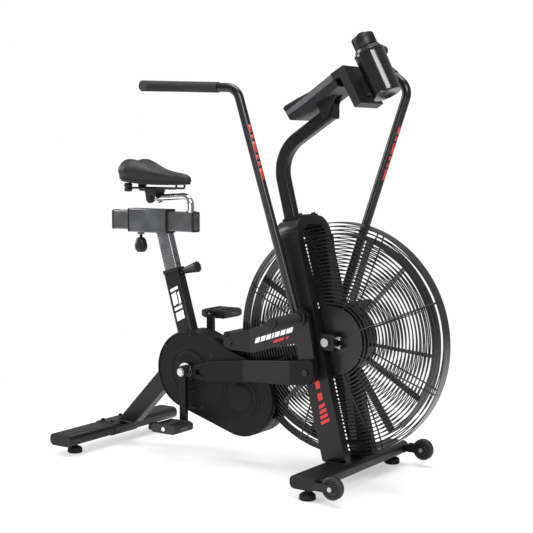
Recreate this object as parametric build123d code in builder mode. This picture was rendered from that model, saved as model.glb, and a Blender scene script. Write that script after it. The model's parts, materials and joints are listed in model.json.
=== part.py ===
from build123d import *
import os
from math import acos, atan2, cos, degrees, hypot, radians, sin, sqrt, tan

# Air bike: fan at the front, belt drive, swinging handles and a sliding seat.
# Millimetres, +Z up, +X forward (fan end), +Y to the rider's left, Z = 0 on the floor.
# Longitudinal stations (x) are measured from the transport wheel axle, which lies
# WHEEL_AXLE_X ahead of the origin.  A "point" is an (x, z) pair in side view.

os.makedirs("parts", exist_ok=True)

# ============================================================ driving dimensions
WHEEL_AXLE_X = 441.5
LEFT, RIGHT = 1, -1           # sign of Y
SIDES = (LEFT, RIGHT)
CUT = Mode.SUBTRACT
GAP = 0.05                    # clearance between touching pieces

# stabilizers, feet and transport wheels
STAB_DEPTH, STAB_HEIGHT, STAB_RADIUS = 90.0, 40.0, 17.0
STAB_HALF = 280.0             # half length of a stabilizer tube
STAB_Z = 54.0                 # centre height of both stabilizers
STAB_TOP = STAB_Z + STAB_HEIGHT / 2
SLEEVE_WALL = 3.0             # sleeve round the middle of the rear stabilizer
SLEEVE_TOP = STAB_TOP + SLEEVE_WALL
REAR_X, FRONT_X = -1052.0, -100.0
FOOT_RADIUS = 25.0
FOOT_Y_REAR, FOOT_Y_FRONT = 212.0, 256.0
WHEEL_Y, WHEEL_RADIUS, WHEEL_WIDTH = 280.5, 34.0, 22.0

# fan and cage
FAN = FAN_X, FAN_Z = -140.0, 437.0
CAGE_RADIUS = 357.0
BAND_HALF = 16.0
HUB_PLATE_RADIUS = 106.0
BLADES = 14
FAN_RADIUS = 323.0
FAN_HALF = 20.0               # half width of rings and blades
FAN_DISC_RADIUS = 103.9
AXLE_RADIUS = 7.5

# drive
CRANK = CRANK_X, CRANK_Z = -695.0, 290.0
JACK = JACK_X, JACK_Z = -487.0, 222.0     # jackshaft axis
CRANK_LENGTH = 172.0
CASE_HALF = 46.5
CRANK_PULLEY_RADIUS, JACK_SMALL_RADIUS = 98.0, 27.0
JACK_BIG_RADIUS, FAN_PULLEY_RADIUS = 80.0, 26.0
SPINDLE_BORE = 12.43
BELT_THICKNESS = 3.0

# handle arms
ARM = ARM_X, ARM_Z = -210.0, 510.0        # arm pivot axis
SWING = 34.0                  # angle between the left and right arms
LOWER_ARM = 165.0             # pivot to rod pin
ARM_LEAN = 10.0               # forward lean of the right lower arm
ARM_AXLE_RADIUS = 10.0

# fan frame legs
LEAN = 14.3                   # rearward lean
LEG_X, LEG_Z = -106.0, STAB_TOP           # foot of the leg centreline
LEG_DEPTH, LEG_IN, LEG_OUT = 80.0, 66.0, 98.0
LEG_LENGTH = 749.0
LEG_WALL = 2.5
LEG_FACE = 41.33              # leg centreline to its front or rear face, along X
BLOCK_IN, BLOCK_OUT = 70.0, 95.0          # lateral faces of the fan axle blocks

# seat
SEAT_LEAN = 16.4
SEAT_X, SEAT_Z = -698.0, CRANK_Z          # foot of the seat tube centreline
SEAT_TUBE_TOP = 328.0         # along the tube
SLIDER_Z = 775.0
SLIDER_HEIGHT = 65.0
SADDLE_Z = 896.0              # underside of the saddle


# ============================================================ planes and points
def at(x, y, z):
    return (WHEEL_AXLE_X + x, y, z)


def side(y):
    """Sketch plane at lateral station y: local x forward, local y up, normal to the right."""
    return Plane(origin=at(0, y, 0), x_dir=(1, 0, 0), z_dir=(0, -1, 0))


def upright(x, y):
    """Side-view plane with its local origin on the floor at x, y."""
    return Plane(origin=at(x, y, 0), x_dir=(1, 0, 0), z_dir=(0, -1, 0))


def level(z, x=0):
    """Horizontal plane with its origin at station x: local x forward, local y left."""
    return Plane(origin=at(x, 0, z), x_dir=(1, 0, 0), z_dir=(0, 0, 1))


def along(point, angle):
    """Plane on the centreline, normal at angle degrees above +X; local x is +Y."""
    heading = radians(angle)
    return Plane(origin=at(point[0], 0, point[1]), x_dir=(0, 1, 0),
                 z_dir=(cos(heading), 0, sin(heading)))


def cross_axis(point):
    return Axis(at(point[0], 0, point[1]), (0, 1, 0))


def span(hand, inner, outer):
    """Lateral stations of a feature on one side, in increasing Y."""
    return (inner, outer) if hand > 0 else (-outer, -inner)


def leg_x(z):
    return LEG_X - (z - LEG_Z) * tan(radians(LEAN))


def seat_point(distance):
    """Point on the seat tube centreline, distance up from its foot."""
    lean = radians(SEAT_LEAN)
    return (SEAT_X - distance * sin(lean), SEAT_Z + distance * cos(lean))


# ============================================================ solids across the machine
# These helpers add to, or cut from, the BuildPart that is active when they are called.
def bar(point, radius, y0, y1, mode=Mode.ADD):
    """Round bar between lateral stations y0 < y1."""
    with BuildSketch(side(y1)) as section:
        with Locations(point):
            Circle(radius)
    extrude(to_extrude=section.sketch, amount=y1 - y0, mode=mode)


def ring(point, outer, inner, half_width):
    """Flat band centred on Y = 0."""
    with BuildSketch(side(half_width)) as section:
        with Locations(point):
            Circle(outer)
            Circle(inner, mode=CUT)
    extrude(to_extrude=section.sketch, amount=2 * half_width)


def plate(outline, y0, y1, mode=Mode.ADD):
    """Plate with a side-view outline, between lateral stations y0 < y1."""
    with BuildSketch(side(y1)) as section:
        with BuildLine():
            Polyline(*outline, close=True)
        make_face()
    extrude(to_extrude=section.sketch, amount=y1 - y0, mode=mode)


def tangents(centre1, radius1, centre2, radius2):
    """Two outer tangent lines of two circles, each as a pair of touch points."""
    dx, dz = centre2[0] - centre1[0], centre2[1] - centre1[1]
    heading = atan2(dz, dx)
    spread = acos((radius1 - radius2) / hypot(dx, dz))
    lines = []
    for sign in (1, -1):
        angle = heading + sign * spread
        lines.append([(centre[0] + radius * cos(angle), centre[1] + radius * sin(angle))
                      for centre, radius in ((centre1, radius1), (centre2, radius2))])
    return lines


def link(centre1, radius1, centre2, radius2, y0, y1, mode=Mode.ADD):
    """Plate whose outline is the belt line round two circles."""
    (a1, a2), (b1, b2) = tangents(centre1, radius1, centre2, radius2)
    with BuildSketch(side(y1)) as section:
        with BuildLine():
            Polyline(a1, a2, b2, b1, close=True)
        make_face()
        with Locations(centre1):
            Circle(radius1)
        with Locations(centre2):
            Circle(radius2)
    extrude(to_extrude=section.sketch, amount=y1 - y0, mode=mode)


def save(part, name):
    part.label = name
    export_step(part, "parts/" + name + ".step")


# ============================================================ stabilizers
FORK_PLATE = 3.0              # thickness of a wheel fork blade
FORK_OFFSET = 13.5            # wheel centre to blade centre
FORK_HALF_HEIGHT = 12.0


def stab_section(x, grow=0.0):
    """Stabilizer tube section, enlarged overall by grow; goes in the active sketch."""
    with Locations((x, STAB_Z)):
        RectangleRounded(STAB_DEPTH + grow, STAB_HEIGHT + grow, STAB_RADIUS + grow / 2)


def stabilizer(x, foot_y, rear):
    with BuildPart() as stab:
        with BuildSketch(side(STAB_HALF)):
            stab_section(x)
        extrude(amount=2 * STAB_HALF)
        if rear:
            # central sleeve
            with BuildSketch(side(62)):
                stab_section(x, 2 * SLEEVE_WALL)
            extrude(amount=124)
        with BuildSketch(side(STAB_HALF + 1)):
            stab_section(x, -5)
        extrude(amount=2 * STAB_HALF + 2, mode=CUT)
        # threaded bosses for the levelling feet
        with BuildSketch(level(STAB_Z - STAB_HEIGHT / 2 + 1)):
            with Locations((x, foot_y), (x, -foot_y)):
                Circle(10)
        extrude(amount=14)
        with BuildSketch(level(30)):
            with Locations((x, foot_y), (x, -foot_y)):
                Circle(5.06)
        extrude(amount=24, mode=CUT)
        if not rear:
            # forks of the transport wheels
            root_x = x + STAB_DEPTH / 2 - 1
            low, high = STAB_Z - FORK_HALF_HEIGHT, STAB_Z + FORK_HALF_HEIGHT
            for hand in SIDES:
                for offset in (-FORK_OFFSET, FORK_OFFSET):
                    with BuildSketch(side(hand * WHEEL_Y + offset + FORK_PLATE / 2)):
                        with BuildLine():
                            Polyline((root_x, low), (-6, low), (-6, high), (root_x, high),
                                     close=True)
                        make_face()
                        with Locations((0, STAB_Z)):
                            Circle(13.4)
                        with Locations((0, STAB_Z)):
                            Circle(4.05, mode=CUT)
                    extrude(amount=FORK_PLATE)
                # web joining the two blades
                with BuildSketch(level(low)):
                    with Locations((x + STAB_DEPTH / 2 + 0.5, hand * (WHEEL_Y - 7.75))):
                        Rectangle(3, 45.5)
                extrude(amount=2 * FORK_HALF_HEIGHT)
                # room for the end cap behind the outer fork blade
                with BuildSketch(level(STAB_Z - STAB_HEIGHT / 2)):
                    with Locations((x, hand * 290.02)):
                        Rectangle(STAB_DEPTH + 0.1, 20)
                extrude(amount=STAB_HEIGHT, mode=CUT)
    return stab.part


save(stabilizer(REAR_X, FOOT_Y_REAR, rear=True), "rear_stabilizer")
save(stabilizer(FRONT_X, FOOT_Y_FRONT, rear=False), "front_stabilizer")

# ============================================================ end caps
MAST_END_X = -168.0

# four stabilizer caps with plugs, and a plain cap on the mast end
with BuildPart() as end_caps:
    for x in (REAR_X, FRONT_X):
        for hand in SIDES:
            with BuildSketch(side(hand * (STAB_HALF + GAP))):
                stab_section(x)
            extrude(amount=-hand * 3.45)
            with BuildSketch(side(hand * (STAB_HALF + GAP))):
                stab_section(x, -5.4)
            extrude(amount=hand * 14)
    plate([(MAST_END_X + GAP, 1104), (-161.5, 1107), (-161.5, 1150), (MAST_END_X + GAP, 1153)],
          -16, 16)
save(end_caps.part, "end_caps")

# ============================================================ levelling feet
# (radius, height) of the pad and its stud
FOOT_PROFILE = [
    (0, 0), (FOOT_RADIUS - 3, 0), (FOOT_RADIUS, 3), (FOOT_RADIUS - 1, 15),
    (FOOT_RADIUS - 7, 20), (9, 22), (9, 30), (5, 30), (5, 62), (0, 62),
]


def foot(x, y):
    with BuildPart() as levelling_foot:
        with BuildSketch(upright(x, y)):
            with BuildLine():
                Polyline(*FOOT_PROFILE, close=True)
            make_face()
        revolve(axis=Axis(at(x, y, 0), (0, 0, 1)))
    return levelling_foot.part


for end, x, y in (("rear", REAR_X, FOOT_Y_REAR), ("front", FRONT_X, FOOT_Y_FRONT)):
    save(foot(x, -y), "foot_" + end + "_right")
    save(foot(x, y), "foot_" + end + "_left")

# ============================================================ transport wheels
WHEEL_HALF = WHEEL_WIDTH / 2
# (lateral offset, radius): stepped tread and recessed web
WHEEL_PROFILE = [
    (-WHEEL_HALF, 4.15), (WHEEL_HALF, 4.15), (WHEEL_HALF, 12), (WHEEL_HALF - 3, 14),
    (WHEEL_HALF - 3, 22), (WHEEL_HALF, 25), (WHEEL_HALF, 30), (WHEEL_HALF - 4, WHEEL_RADIUS),
    (-WHEEL_HALF + 4, WHEEL_RADIUS), (-WHEEL_HALF, 30), (-WHEEL_HALF, 25),
    (-WHEEL_HALF + 3, 22), (-WHEEL_HALF + 3, 14), (-WHEEL_HALF, 12),
]


def transport_wheel(hand):
    with BuildPart() as wheel:
        with BuildSketch(Plane(origin=at(0, hand * WHEEL_Y, STAB_Z), x_dir=(0, 1, 0),
                               z_dir=(1, 0, 0))):
            with BuildLine():
                Polyline(*WHEEL_PROFILE, close=True)
            make_face()
        revolve(axis=cross_axis((0, STAB_Z)))
    return wheel.part


save(transport_wheel(RIGHT), "wheel_right")
save(transport_wheel(LEFT), "wheel_left")

# ============================================================ fan frame (inverted U)
CROWN = 27.0                  # thickness of the bar across the top
leg_plane = along((LEG_X, LEG_Z), LEAN)
leg_rear_plane = leg_plane.offset(-LEG_DEPTH / 2)
with BuildPart() as front_frame:
    with BuildSketch(leg_rear_plane) as u_outer:
        with Locations((0, (LEG_LENGTH - 40) / 2)):
            Rectangle(2 * LEG_OUT, LEG_LENGTH + 40)
        fillet(u_outer.vertices().group_by(Axis.Z)[-1], 58)
        with BuildSketch(leg_rear_plane, mode=CUT) as u_inner:
            with Locations((0, (LEG_LENGTH - CROWN - 60) / 2)):
                Rectangle(2 * LEG_IN, LEG_LENGTH - CROWN + 60)
            fillet(u_inner.vertices().group_by(Axis.Z)[-1], 40)
    extrude(amount=LEG_DEPTH)
    # hollow the legs
    leg_centre_y = (LEG_IN + LEG_OUT) / 2
    with BuildSketch(leg_plane.offset(-LEG_DEPTH / 2 + LEG_WALL)):
        with Locations((-leg_centre_y, 325), (leg_centre_y, 325)):
            Rectangle(LEG_OUT - LEG_IN - 2 * LEG_WALL, 700)
    extrude(amount=LEG_DEPTH - 2 * LEG_WALL, mode=CUT)
    # pivot tubes through the legs
    for hand in SIDES:
        bar(ARM, 16, *span(hand, LEG_IN, LEG_OUT))
    bar(ARM, ARM_AXLE_RADIUS + GAP, -LEG_OUT - 1, LEG_OUT + 1, CUT)
    # seat the legs on the front stabilizer
    split(bisect_by=Plane.XY.offset(LEG_Z + GAP), keep=Keep.TOP)
save(front_frame.part, "front_frame")

# ============================================================ main frame
STRUT_BELOW = 70.0            # strut overrun below its origin, trimmed at the sleeve
BEARING_RADIUS, JACK_BEARING_RADIUS = 21.0, 17.0
SPINE_LENGTH = 185.0
strut_plane = along((-986.0, 82.0), 46.0)
spine_plane = along((-712, 336), 21.0)
seat_plane = along((SEAT_X, SEAT_Z), 90 + SEAT_LEAN)
PIN_STATION = (600.0 - SEAT_Z) / cos(radians(SEAT_LEAN))   # pull pin, up the seat tube
pin_plane = along(seat_point(PIN_STATION), SEAT_LEAN)

# side-view outline (x, z) of the beams from the cross block to the fan frame legs
BEAM_SIDE = [
    (-551, 390), (-549, 412), (-503, 431), (-374, 471), (leg_x(512) - LEG_FACE, 512),
    (leg_x(425) - LEG_FACE, 425), (-295, 415), (-432, 373), (-520, 374), (-545, 382),
]
# plan outline (x, distance from centreline) of one beam
BEAM_PLAN = [(-560, 33), (-446, 33), (-225, 77), (-225, 97.3), (-250, 91.5), (-446, 52),
             (-560, 52)]
# side-view outline (x, z) of the block across the rear ends of the beams
CROSS_BLOCK = [(-551, 386), (-551, 426), (-547, 430), (-509, 430), (-507, 428), (-507, 386),
               (-511, 382), (-547, 382)]

with BuildPart() as beams:
    plate(BEAM_SIDE, -99, 99)
    with BuildSketch(level(330)):
        for hand in SIDES:
            with BuildLine():
                Polyline(*[(x, hand * y) for x, y in BEAM_PLAN], close=True)
            make_face()
    extrude(amount=250, mode=Mode.INTERSECT)

with BuildPart() as main_frame:
    # strut up from the rear stabilizer, then the seat tube
    with BuildSketch(strut_plane.offset(-STRUT_BELOW)):
        RectangleRounded(44, 58, 5)
    extrude(amount=STRUT_BELOW + 385)
    with BuildSketch(seat_plane.offset(18)):
        RectangleRounded(42, 60, 6)
    extrude(amount=SEAT_TUBE_TOP - 18)
    # crank and jackshaft shells, joined by a bridge
    bar(CRANK, 28, -26, 26)
    bar(JACK, 23, -24, 24)
    with BuildSketch(along(CRANK, degrees(atan2(JACK_Z - CRANK_Z, JACK_X - CRANK_X)))):
        Rectangle(30, 36)
    extrude(amount=hypot(JACK_X - CRANK_X, JACK_Z - CRANK_Z) - 10)
    # spine forward from the seat tube to the beams
    with BuildSketch(spine_plane):
        Rectangle(40, 44)
    extrude(amount=SPINE_LENGTH)
    plate(CROSS_BLOCK, -50, 50)
    add(beams.part)
    # threaded barrel of the pull pin
    with BuildSketch(pin_plane.offset(27)):
        Circle(11)
    extrude(amount=13)
    # tube interiors and bores
    with BuildSketch(seat_plane.offset(62)):
        RectangleRounded(37, 55, 3.5)
    extrude(amount=320, mode=CUT)
    with BuildSketch(strut_plane.offset(-STRUT_BELOW - 5)):
        RectangleRounded(39, 53, 2.5)
    extrude(amount=STRUT_BELOW + 5 + 270, mode=CUT)
    with BuildSketch(pin_plane.offset(20)):
        Circle(5.06)
    extrude(amount=30, mode=CUT)
    bar(CRANK, BEARING_RADIUS + 0.02, -27, 27, CUT)
    bar(JACK, JACK_BEARING_RADIUS + 0.02, -25, 25, CUT)
    split(bisect_by=Plane.XY.offset(SLEEVE_TOP + GAP), keep=Keep.TOP)
save(main_frame.part, "main_frame")

# flanged collar in the top of the seat tube
collar_plane = seat_plane.offset(SEAT_TUBE_TOP + GAP)
with BuildPart() as seat_collar:
    with BuildSketch(collar_plane):
        RectangleRounded(47, 65, 8)
        RectangleRounded(32.6, 50.6, 4, mode=CUT)
    extrude(amount=12)
    with BuildSketch(collar_plane):
        RectangleRounded(36.6, 54.6, 3.4)
        RectangleRounded(32.6, 50.6, 4, mode=CUT)
    extrude(amount=-14)
    # clearance for the pull pin and its barrel
    with BuildSketch(pin_plane.offset(20)):
        Circle(5.3)
    extrude(amount=20, mode=CUT)
    with BuildSketch(pin_plane.offset(27.3)):
        Circle(11.2)
    extrude(amount=14, mode=CUT)
save(seat_collar.part, "seat_collar")

# ============================================================ fan axle blocks
block_low, block_high = FAN_Z - 25, FAN_Z + 25
block_front = FAN_X + 28
with BuildPart() as axle_blocks:
    for hand in SIDES:
        y0, y1 = span(hand, BLOCK_IN, BLOCK_OUT)
        plate([(leg_x(block_low) + LEG_FACE, block_low), (block_front, block_low),
               (block_front, block_high), (leg_x(block_high) + LEG_FACE, block_high)], y0, y1)
        bar(FAN, AXLE_RADIUS + GAP, y0 - 1, y1 + 1, CUT)
save(axle_blocks.part, "axle_blocks")

# ============================================================ mast
FLANGE_THICKNESS = 6.0
CONSOLE_PIVOT = (-192, 1114.5)
mast_foot = at(-317, 0, 780)
flange_plane = along((-291, 799.87), 90 + LEAN)
with BuildPart() as mast:
    with BuildLine() as mast_path:
        FilletPolyline(mast_foot, at(-372, 0, 1000.3), at(MAST_END_X, 0, 1130), radius=118)
    with BuildSketch(Plane(origin=mast_foot, x_dir=(0, 1, 0), z_dir=mast_path.line % 0)):
        RectangleRounded(32, 40, 5)
    sweep(path=mast_path.line)
    split(bisect_by=flange_plane, keep=Keep.TOP)
    with BuildSketch(flange_plane):
        RectangleRounded(100, 76, 8)
    extrude(amount=FLANGE_THICKNESS)
    split(bisect_by=Plane.YZ.offset(WHEEL_AXLE_X + MAST_END_X), keep=Keep.BOTTOM)
    bar(CONSOLE_PIVOT, 4.06, -20, 20, CUT)
save(mast.part, "mast")

# ============================================================ frame bolts
with BuildPart() as frame_bolts:
    for hand in SIDES:
        # mast flange
        for offset in (26, -26):
            with BuildSketch(flange_plane.offset(FLANGE_THICKNESS + GAP)):
                with Locations((hand * 38, offset)):
                    RegularPolygon(7, 6)
            extrude(amount=6)
        # outer faces of the legs
        for z in (445, 492):
            bar((leg_x(z) - 22, z), 8, *span(hand, LEG_OUT + GAP, LEG_OUT + GAP + 3.5))
        # rear stabilizer sleeve
        for offset in (22, -22):
            with BuildSketch(level(SLEEVE_TOP + GAP)):
                with Locations((REAR_X + offset, hand * 46)):
                    RegularPolygon(7, 6)
            extrude(amount=6)
save(frame_bolts.part, "frame_bolts")

# ============================================================ fan cage
with BuildPart() as cage_rim_band:
    ring(FAN, CAGE_RADIUS, CAGE_RADIUS - 3, BAND_HALF)
save(cage_rim_band.part, "cage_rim_band")

RIM_WIRE_RADIUS = 355.5
WIRE_RADII = [RIM_WIRE_RADIUS] + [344.0 - 11.5 * i for i in range(21)]
WIRE = 3.2                    # square section of the ring wires
SPOKES = 8
SPOKE_HALF = 1.7
POST_END = LEG_IN - GAP

# (radius, distance from the centreline) of the ring wires, from the rim inward
RIGHT_DOME = [(RIM_WIRE_RADIUS, 17.75), (335, 22.0), (106, 57.5)]
LEFT_DOME = [(RIM_WIRE_RADIUS, 17.75), (335, 25.0), (300, 29.5), (106, 31.5)]


def dome_offset(profile, radius):
    """Distance from the centreline at a radius, held constant past both ends."""
    if radius > profile[0][0]:
        return profile[0][1]
    for (r0, v0), (r1, v1) in zip(profile, profile[1:]):
        if r0 >= radius >= r1:
            return v0 + (v1 - v0) * (r0 - radius) / (r0 - r1)
    return profile[-1][1]


def grill(profile, spoke_low, spoke_high, hub_y, hub_bore, posts):
    """Cage side on +Y: ring wires, spokes, hub plate, and posts to the frame.

    spoke_low and spoke_high are the spoke edges relative to the ring wire centres.
    """
    with BuildPart() as cage:
        with BuildSketch(along(FAN, 0)):
            with Locations(*[(dome_offset(profile, r), r) for r in WIRE_RADII]):
                Rectangle(WIRE, WIRE)
        revolve(axis=cross_axis(FAN))
        radii = [356.6] + [r for r, _ in profile if 120 < r < 350] + [104.0]
        low = [(r, max(BAND_HALF + 0.08, dome_offset(profile, r) + spoke_low)) for r in radii]
        high = [(r, dome_offset(profile, r) + spoke_high) for r in radii]
        if spoke_high < 0:
            # spokes inside the rings still need some width at the rim
            high[0] = (radii[0], 18.6)
        for k in range(SPOKES):
            angle = radians(22.5 + 360 / SPOKES * k)
            with BuildSketch(Plane(origin=at(FAN_X, 0, FAN_Z),
                                   x_dir=(cos(angle), 0, sin(angle)),
                                   z_dir=(-sin(angle), 0, cos(angle)))):
                with BuildLine():
                    Polyline(*(low + high[::-1]), close=True)
                make_face()
            extrude(amount=SPOKE_HALF, both=True)
        bar(FAN, HUB_PLATE_RADIUS, hub_y, hub_y + 3)
        for post in posts:
            bar(post, 6, hub_y + 2.5, POST_END)
        bar(FAN, hub_bore, -70, 70, CUT)
    return cage.part


# the right grill is built on +Y and mirrored
right_grill_on_left = grill(RIGHT_DOME, 0.3, 4.2, hub_y=57.5, hub_bore=10.0,
                            posts=[(-184, 380), (-198.5, FAN_Z), (-209.5, 480)])
with BuildPart() as cage_grill_right:
    add(mirror(right_grill_on_left, about=Plane.XZ, mode=Mode.PRIVATE))
save(cage_grill_right.part, "cage_grill_right")
save(grill(LEFT_DOME, -4.2, -0.3, hub_y=31.0, hub_bore=20.0,
           posts=[(leg_x(345), 345), (leg_x(405), 405), (leg_x(490) + 8, 490)]),
     "cage_grill_left")

# ============================================================ fan
with BuildPart() as fan_hub:
    bar(FAN, FAN_DISC_RADIUS, -3, 3)
    bar(FAN, 26, -44, 28)
    bar(FAN, 18, 27, 44)
    bar(FAN, FAN_PULLEY_RADIUS, 36, 44)
    bar(FAN, AXLE_RADIUS + 0.06, -50, 50, CUT)
    # ring of round holes through the disc
    with BuildSketch(side(4)):
        with Locations(FAN):
            with PolarLocations(66, 7):
                Circle(14)
    extrude(amount=8, mode=CUT)
save(fan_hub.part, "fan_hub")

with BuildPart() as fan_blades:
    ring(FAN, FAN_RADIUS, FAN_RADIUS - 3, FAN_HALF)
    ring(FAN, 107, FAN_DISC_RADIUS + GAP, FAN_HALF)
    with BuildSketch(side(FAN_HALF)):
        with Locations(FAN):
            with PolarLocations(213.5, BLADES, start_angle=98):
                Rectangle(216, 2.4)
    extrude(amount=2 * FAN_HALF)
save(fan_blades.part, "fan_blades")

# ============================================================ case halves
CASE_CRANK_RADIUS, CASE_JACK_RADIUS = 130.0, 126.0
CASE_WALL, CASE_SIDE_WALL = 2.5, 2.0
# (plane, width, height, length) of the clearances for strut, seat tube and spine
CASE_CLEARANCES = [
    (strut_plane, 44.8, 59.5, 380),
    (seat_plane, 42.8, 61, 200),
    (spine_plane, 41, 46, SPINE_LENGTH),
]


def case_half(hand):
    with BuildPart() as case:
        link(CRANK, CASE_CRANK_RADIUS, JACK, CASE_JACK_RADIUS, *span(hand, GAP, CASE_HALF))
        link(CRANK, CASE_CRANK_RADIUS - CASE_WALL, JACK, CASE_JACK_RADIUS - CASE_WALL,
             *span(hand, 0.0, CASE_HALF - CASE_SIDE_WALL), CUT)
        # crank disc opening
        bar(CRANK, 67.3, *span(hand, CASE_HALF - 3, CASE_HALF + 1), CUT)
        for plane, width, height, length in CASE_CLEARANCES:
            with BuildSketch(plane):
                Rectangle(width, height)
            extrude(amount=length, mode=CUT)
        # scoop round the fan cage
        bar(FAN, 362, -34, 34, CUT)
        if hand == LEFT:
            # slot for the fan belt
            (a1, a2), (b1, b2) = tangents(JACK, 86, FAN, 32)
            plate([a1, a2, b2, b1], 34, 44.5, CUT)
    return case.part


save(case_half(RIGHT), "case_right")
save(case_half(LEFT), "case_left")

# ============================================================ drive
with BuildPart() as bearings:
    for hand in SIDES:
        bar(CRANK, BEARING_RADIUS, *span(hand, 13, 26))
        bar(JACK, JACK_BEARING_RADIUS, *span(hand, 13, 24))
    bar(CRANK, 12.45, -30, 30, CUT)
    bar(JACK, 8.05, -30, 30, CUT)
save(bearings.part, "bearings")


def pedal_point(hand):
    """Pedal axis: the left crank points up, the right one down."""
    return (CRANK_X, CRANK_Z + hand * CRANK_LENGTH)


# spindle with its washers and end nuts, and the pedal pins
with BuildPart() as crank_hardware:
    bar(CRANK, 12.4, -49.6, 49.6)
    bar(CRANK, 11.0, -84, 84)
    for hand in SIDES:
        bar(CRANK, 27, *span(hand, 65, 67))
        bar(CRANK, 14, *span(hand, 83.6, 92))
        bar(pedal_point(hand), 7.0, *span(hand, 68, 184))
        bar(pedal_point(hand), 9.5, *span(hand, 83.6, 88))
save(crank_hardware.part, "crank_hardware")

with BuildPart() as crank_pulley:
    bar(CRANK, CRANK_PULLEY_RADIUS, -40, -30)
    bar(CRANK, 22, -40, -27)
    bar(CRANK, SPINDLE_BORE, -50, 0, CUT)
save(crank_pulley.part, "crank_pulley")

with BuildPart() as crank_discs:
    for hand in SIDES:
        bar(CRANK, 66.5, *span(hand, 44.8, 48.9))
    bar(CRANK, SPINDLE_BORE, -50, 50, CUT)
save(crank_discs.part, "crank_discs")


def crank_arm(hand):
    y0, y1 = span(hand, 67.5, 83.5)
    pedal_end = pedal_point(hand)
    with BuildPart() as arm:
        bar(CRANK, 20, y0, y1)
        link(CRANK, 13.5, pedal_end, 12.5, y0, y1)
        bar(pedal_end, 16, y0, y1)
        bar(CRANK, 11.04, y0 - 1, y1 + 1, CUT)
        bar(pedal_end, 7.04, y0 - 1, y1 + 1, CUT)
        outer = arm.faces().sort_by(Axis.Y)[-1 if hand > 0 else 0]
        chamfer(outer.outer_wire().edges(), 1.5)
    return arm.part


# (x, z) about the pedal axis
PEDAL_OUTLINE = [(-50, -8), (-40, -14), (40, -14), (50, -8), (50, 8), (40, 14), (-40, 14),
                 (-50, 8)]
PEDAL_WINDOW = [(-11, -15), (11, -15), (11, 15), (-11, 15)]


def pedal(hand):
    y0, y1 = span(hand, 90, 185)
    x, z = pedal_point(hand)
    with BuildPart() as body:
        plate([(x + dx, z + dz) for dx, dz in PEDAL_OUTLINE], y0, y1)
        for offset in (-30, 30):
            plate([(x + offset + dx, z + dz) for dx, dz in PEDAL_WINDOW], y0 + 10, y1 - 10, CUT)
        bar((x, z), 7.06, y0 - 1, y1 + 1, CUT)
    return body.part


for hand, name in ((RIGHT, "right"), (LEFT, "left")):
    save(crank_arm(hand), "crank_arm_" + name)
    save(pedal(hand), "pedal_" + name)

with BuildPart() as jackshaft:
    bar(JACK, 8.0, -42, 44)
    bar(JACK, JACK_SMALL_RADIUS, -40, -30)
    bar(JACK, 13, -30, -25)
    bar(JACK, JACK_BIG_RADIUS, 36, 44)
    bar(JACK, 13, 25, 36)
save(jackshaft.part, "jackshaft")


def belt(centre1, radius1, centre2, radius2, y0, y1):
    """Belt round two pulleys that span y0 to y1, half a millimetre inside each face."""
    with BuildPart() as loop:
        link(centre1, radius1 + BELT_THICKNESS, centre2, radius2 + BELT_THICKNESS,
             y0 + 0.5, y1 - 0.5)
        link(centre1, radius1 + 0.06, centre2, radius2 + 0.06, y0, y1, CUT)
    return loop.part


save(belt(CRANK, CRANK_PULLEY_RADIUS, JACK, JACK_SMALL_RADIUS, -40, -30), "drive_belt")
save(belt(JACK, JACK_BIG_RADIUS, FAN, FAN_PULLEY_RADIUS, 36, 44), "fan_belt")

# ============================================================ fixed axles and foot pegs
WHEEL_AXLE = (0, STAB_Z)
with BuildPart() as fixed_axles:
    bar(FAN, AXLE_RADIUS, -103, 103)
    for hand in SIDES:
        bar(FAN, 13, *span(hand, BLOCK_OUT + GAP, 103))
        bar(ARM, ARM_AXLE_RADIUS, *span(hand, 66.5, 255))
        bar(ARM, 14, *span(hand, LEG_OUT + GAP, 101.9))
        bar(WHEEL_AXLE, 4.0, *span(hand, 262, 299))
        bar(WHEEL_AXLE, 7.0, *span(hand, 295.6, 300.5))
        bar(WHEEL_AXLE, 7.0, *span(hand, 259.5, 265.4))
save(fixed_axles.part, "fixed_axles")

with BuildPart() as foot_pegs:
    # right peg first, so that its outer edge is the lowest group in Y
    for hand, outer_group in ((RIGHT, 0), (LEFT, -1)):
        bar(ARM, 15.5, *span(hand, 140, 281))
        circles = foot_pegs.edges().filter_by(GeomType.CIRCLE)
        chamfer(circles.group_by(Axis.Y)[outer_group], 2)
    bar(ARM, ARM_AXLE_RADIUS + GAP, -256, 256, CUT)
save(foot_pegs.part, "foot_pegs")

# ============================================================ handle arms
TUBE_RADIUS, GRIP_RADIUS = 14.0, 16.5
BEND_RADIUS = 46.0
UPPER_BEND = (-421, -156, 1199)
GRIP_HEADING = (-0.997, -0.057, 0.043)    # direction of the tube after the upper bend
tube_start = at(-227.8, -125.5, 525)
outer_bend, tube_end = at(-631, -168, 1208), at(-647, -325, 1204)
grip_start = at(*[c + 66 * d for c, d in zip(UPPER_BEND, GRIP_HEADING)])
ROD_PIN_RIGHT = (ARM_X + LOWER_ARM * sin(radians(ARM_LEAN)),
                 ARM_Z - LOWER_ARM * cos(radians(ARM_LEAN)))

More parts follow.
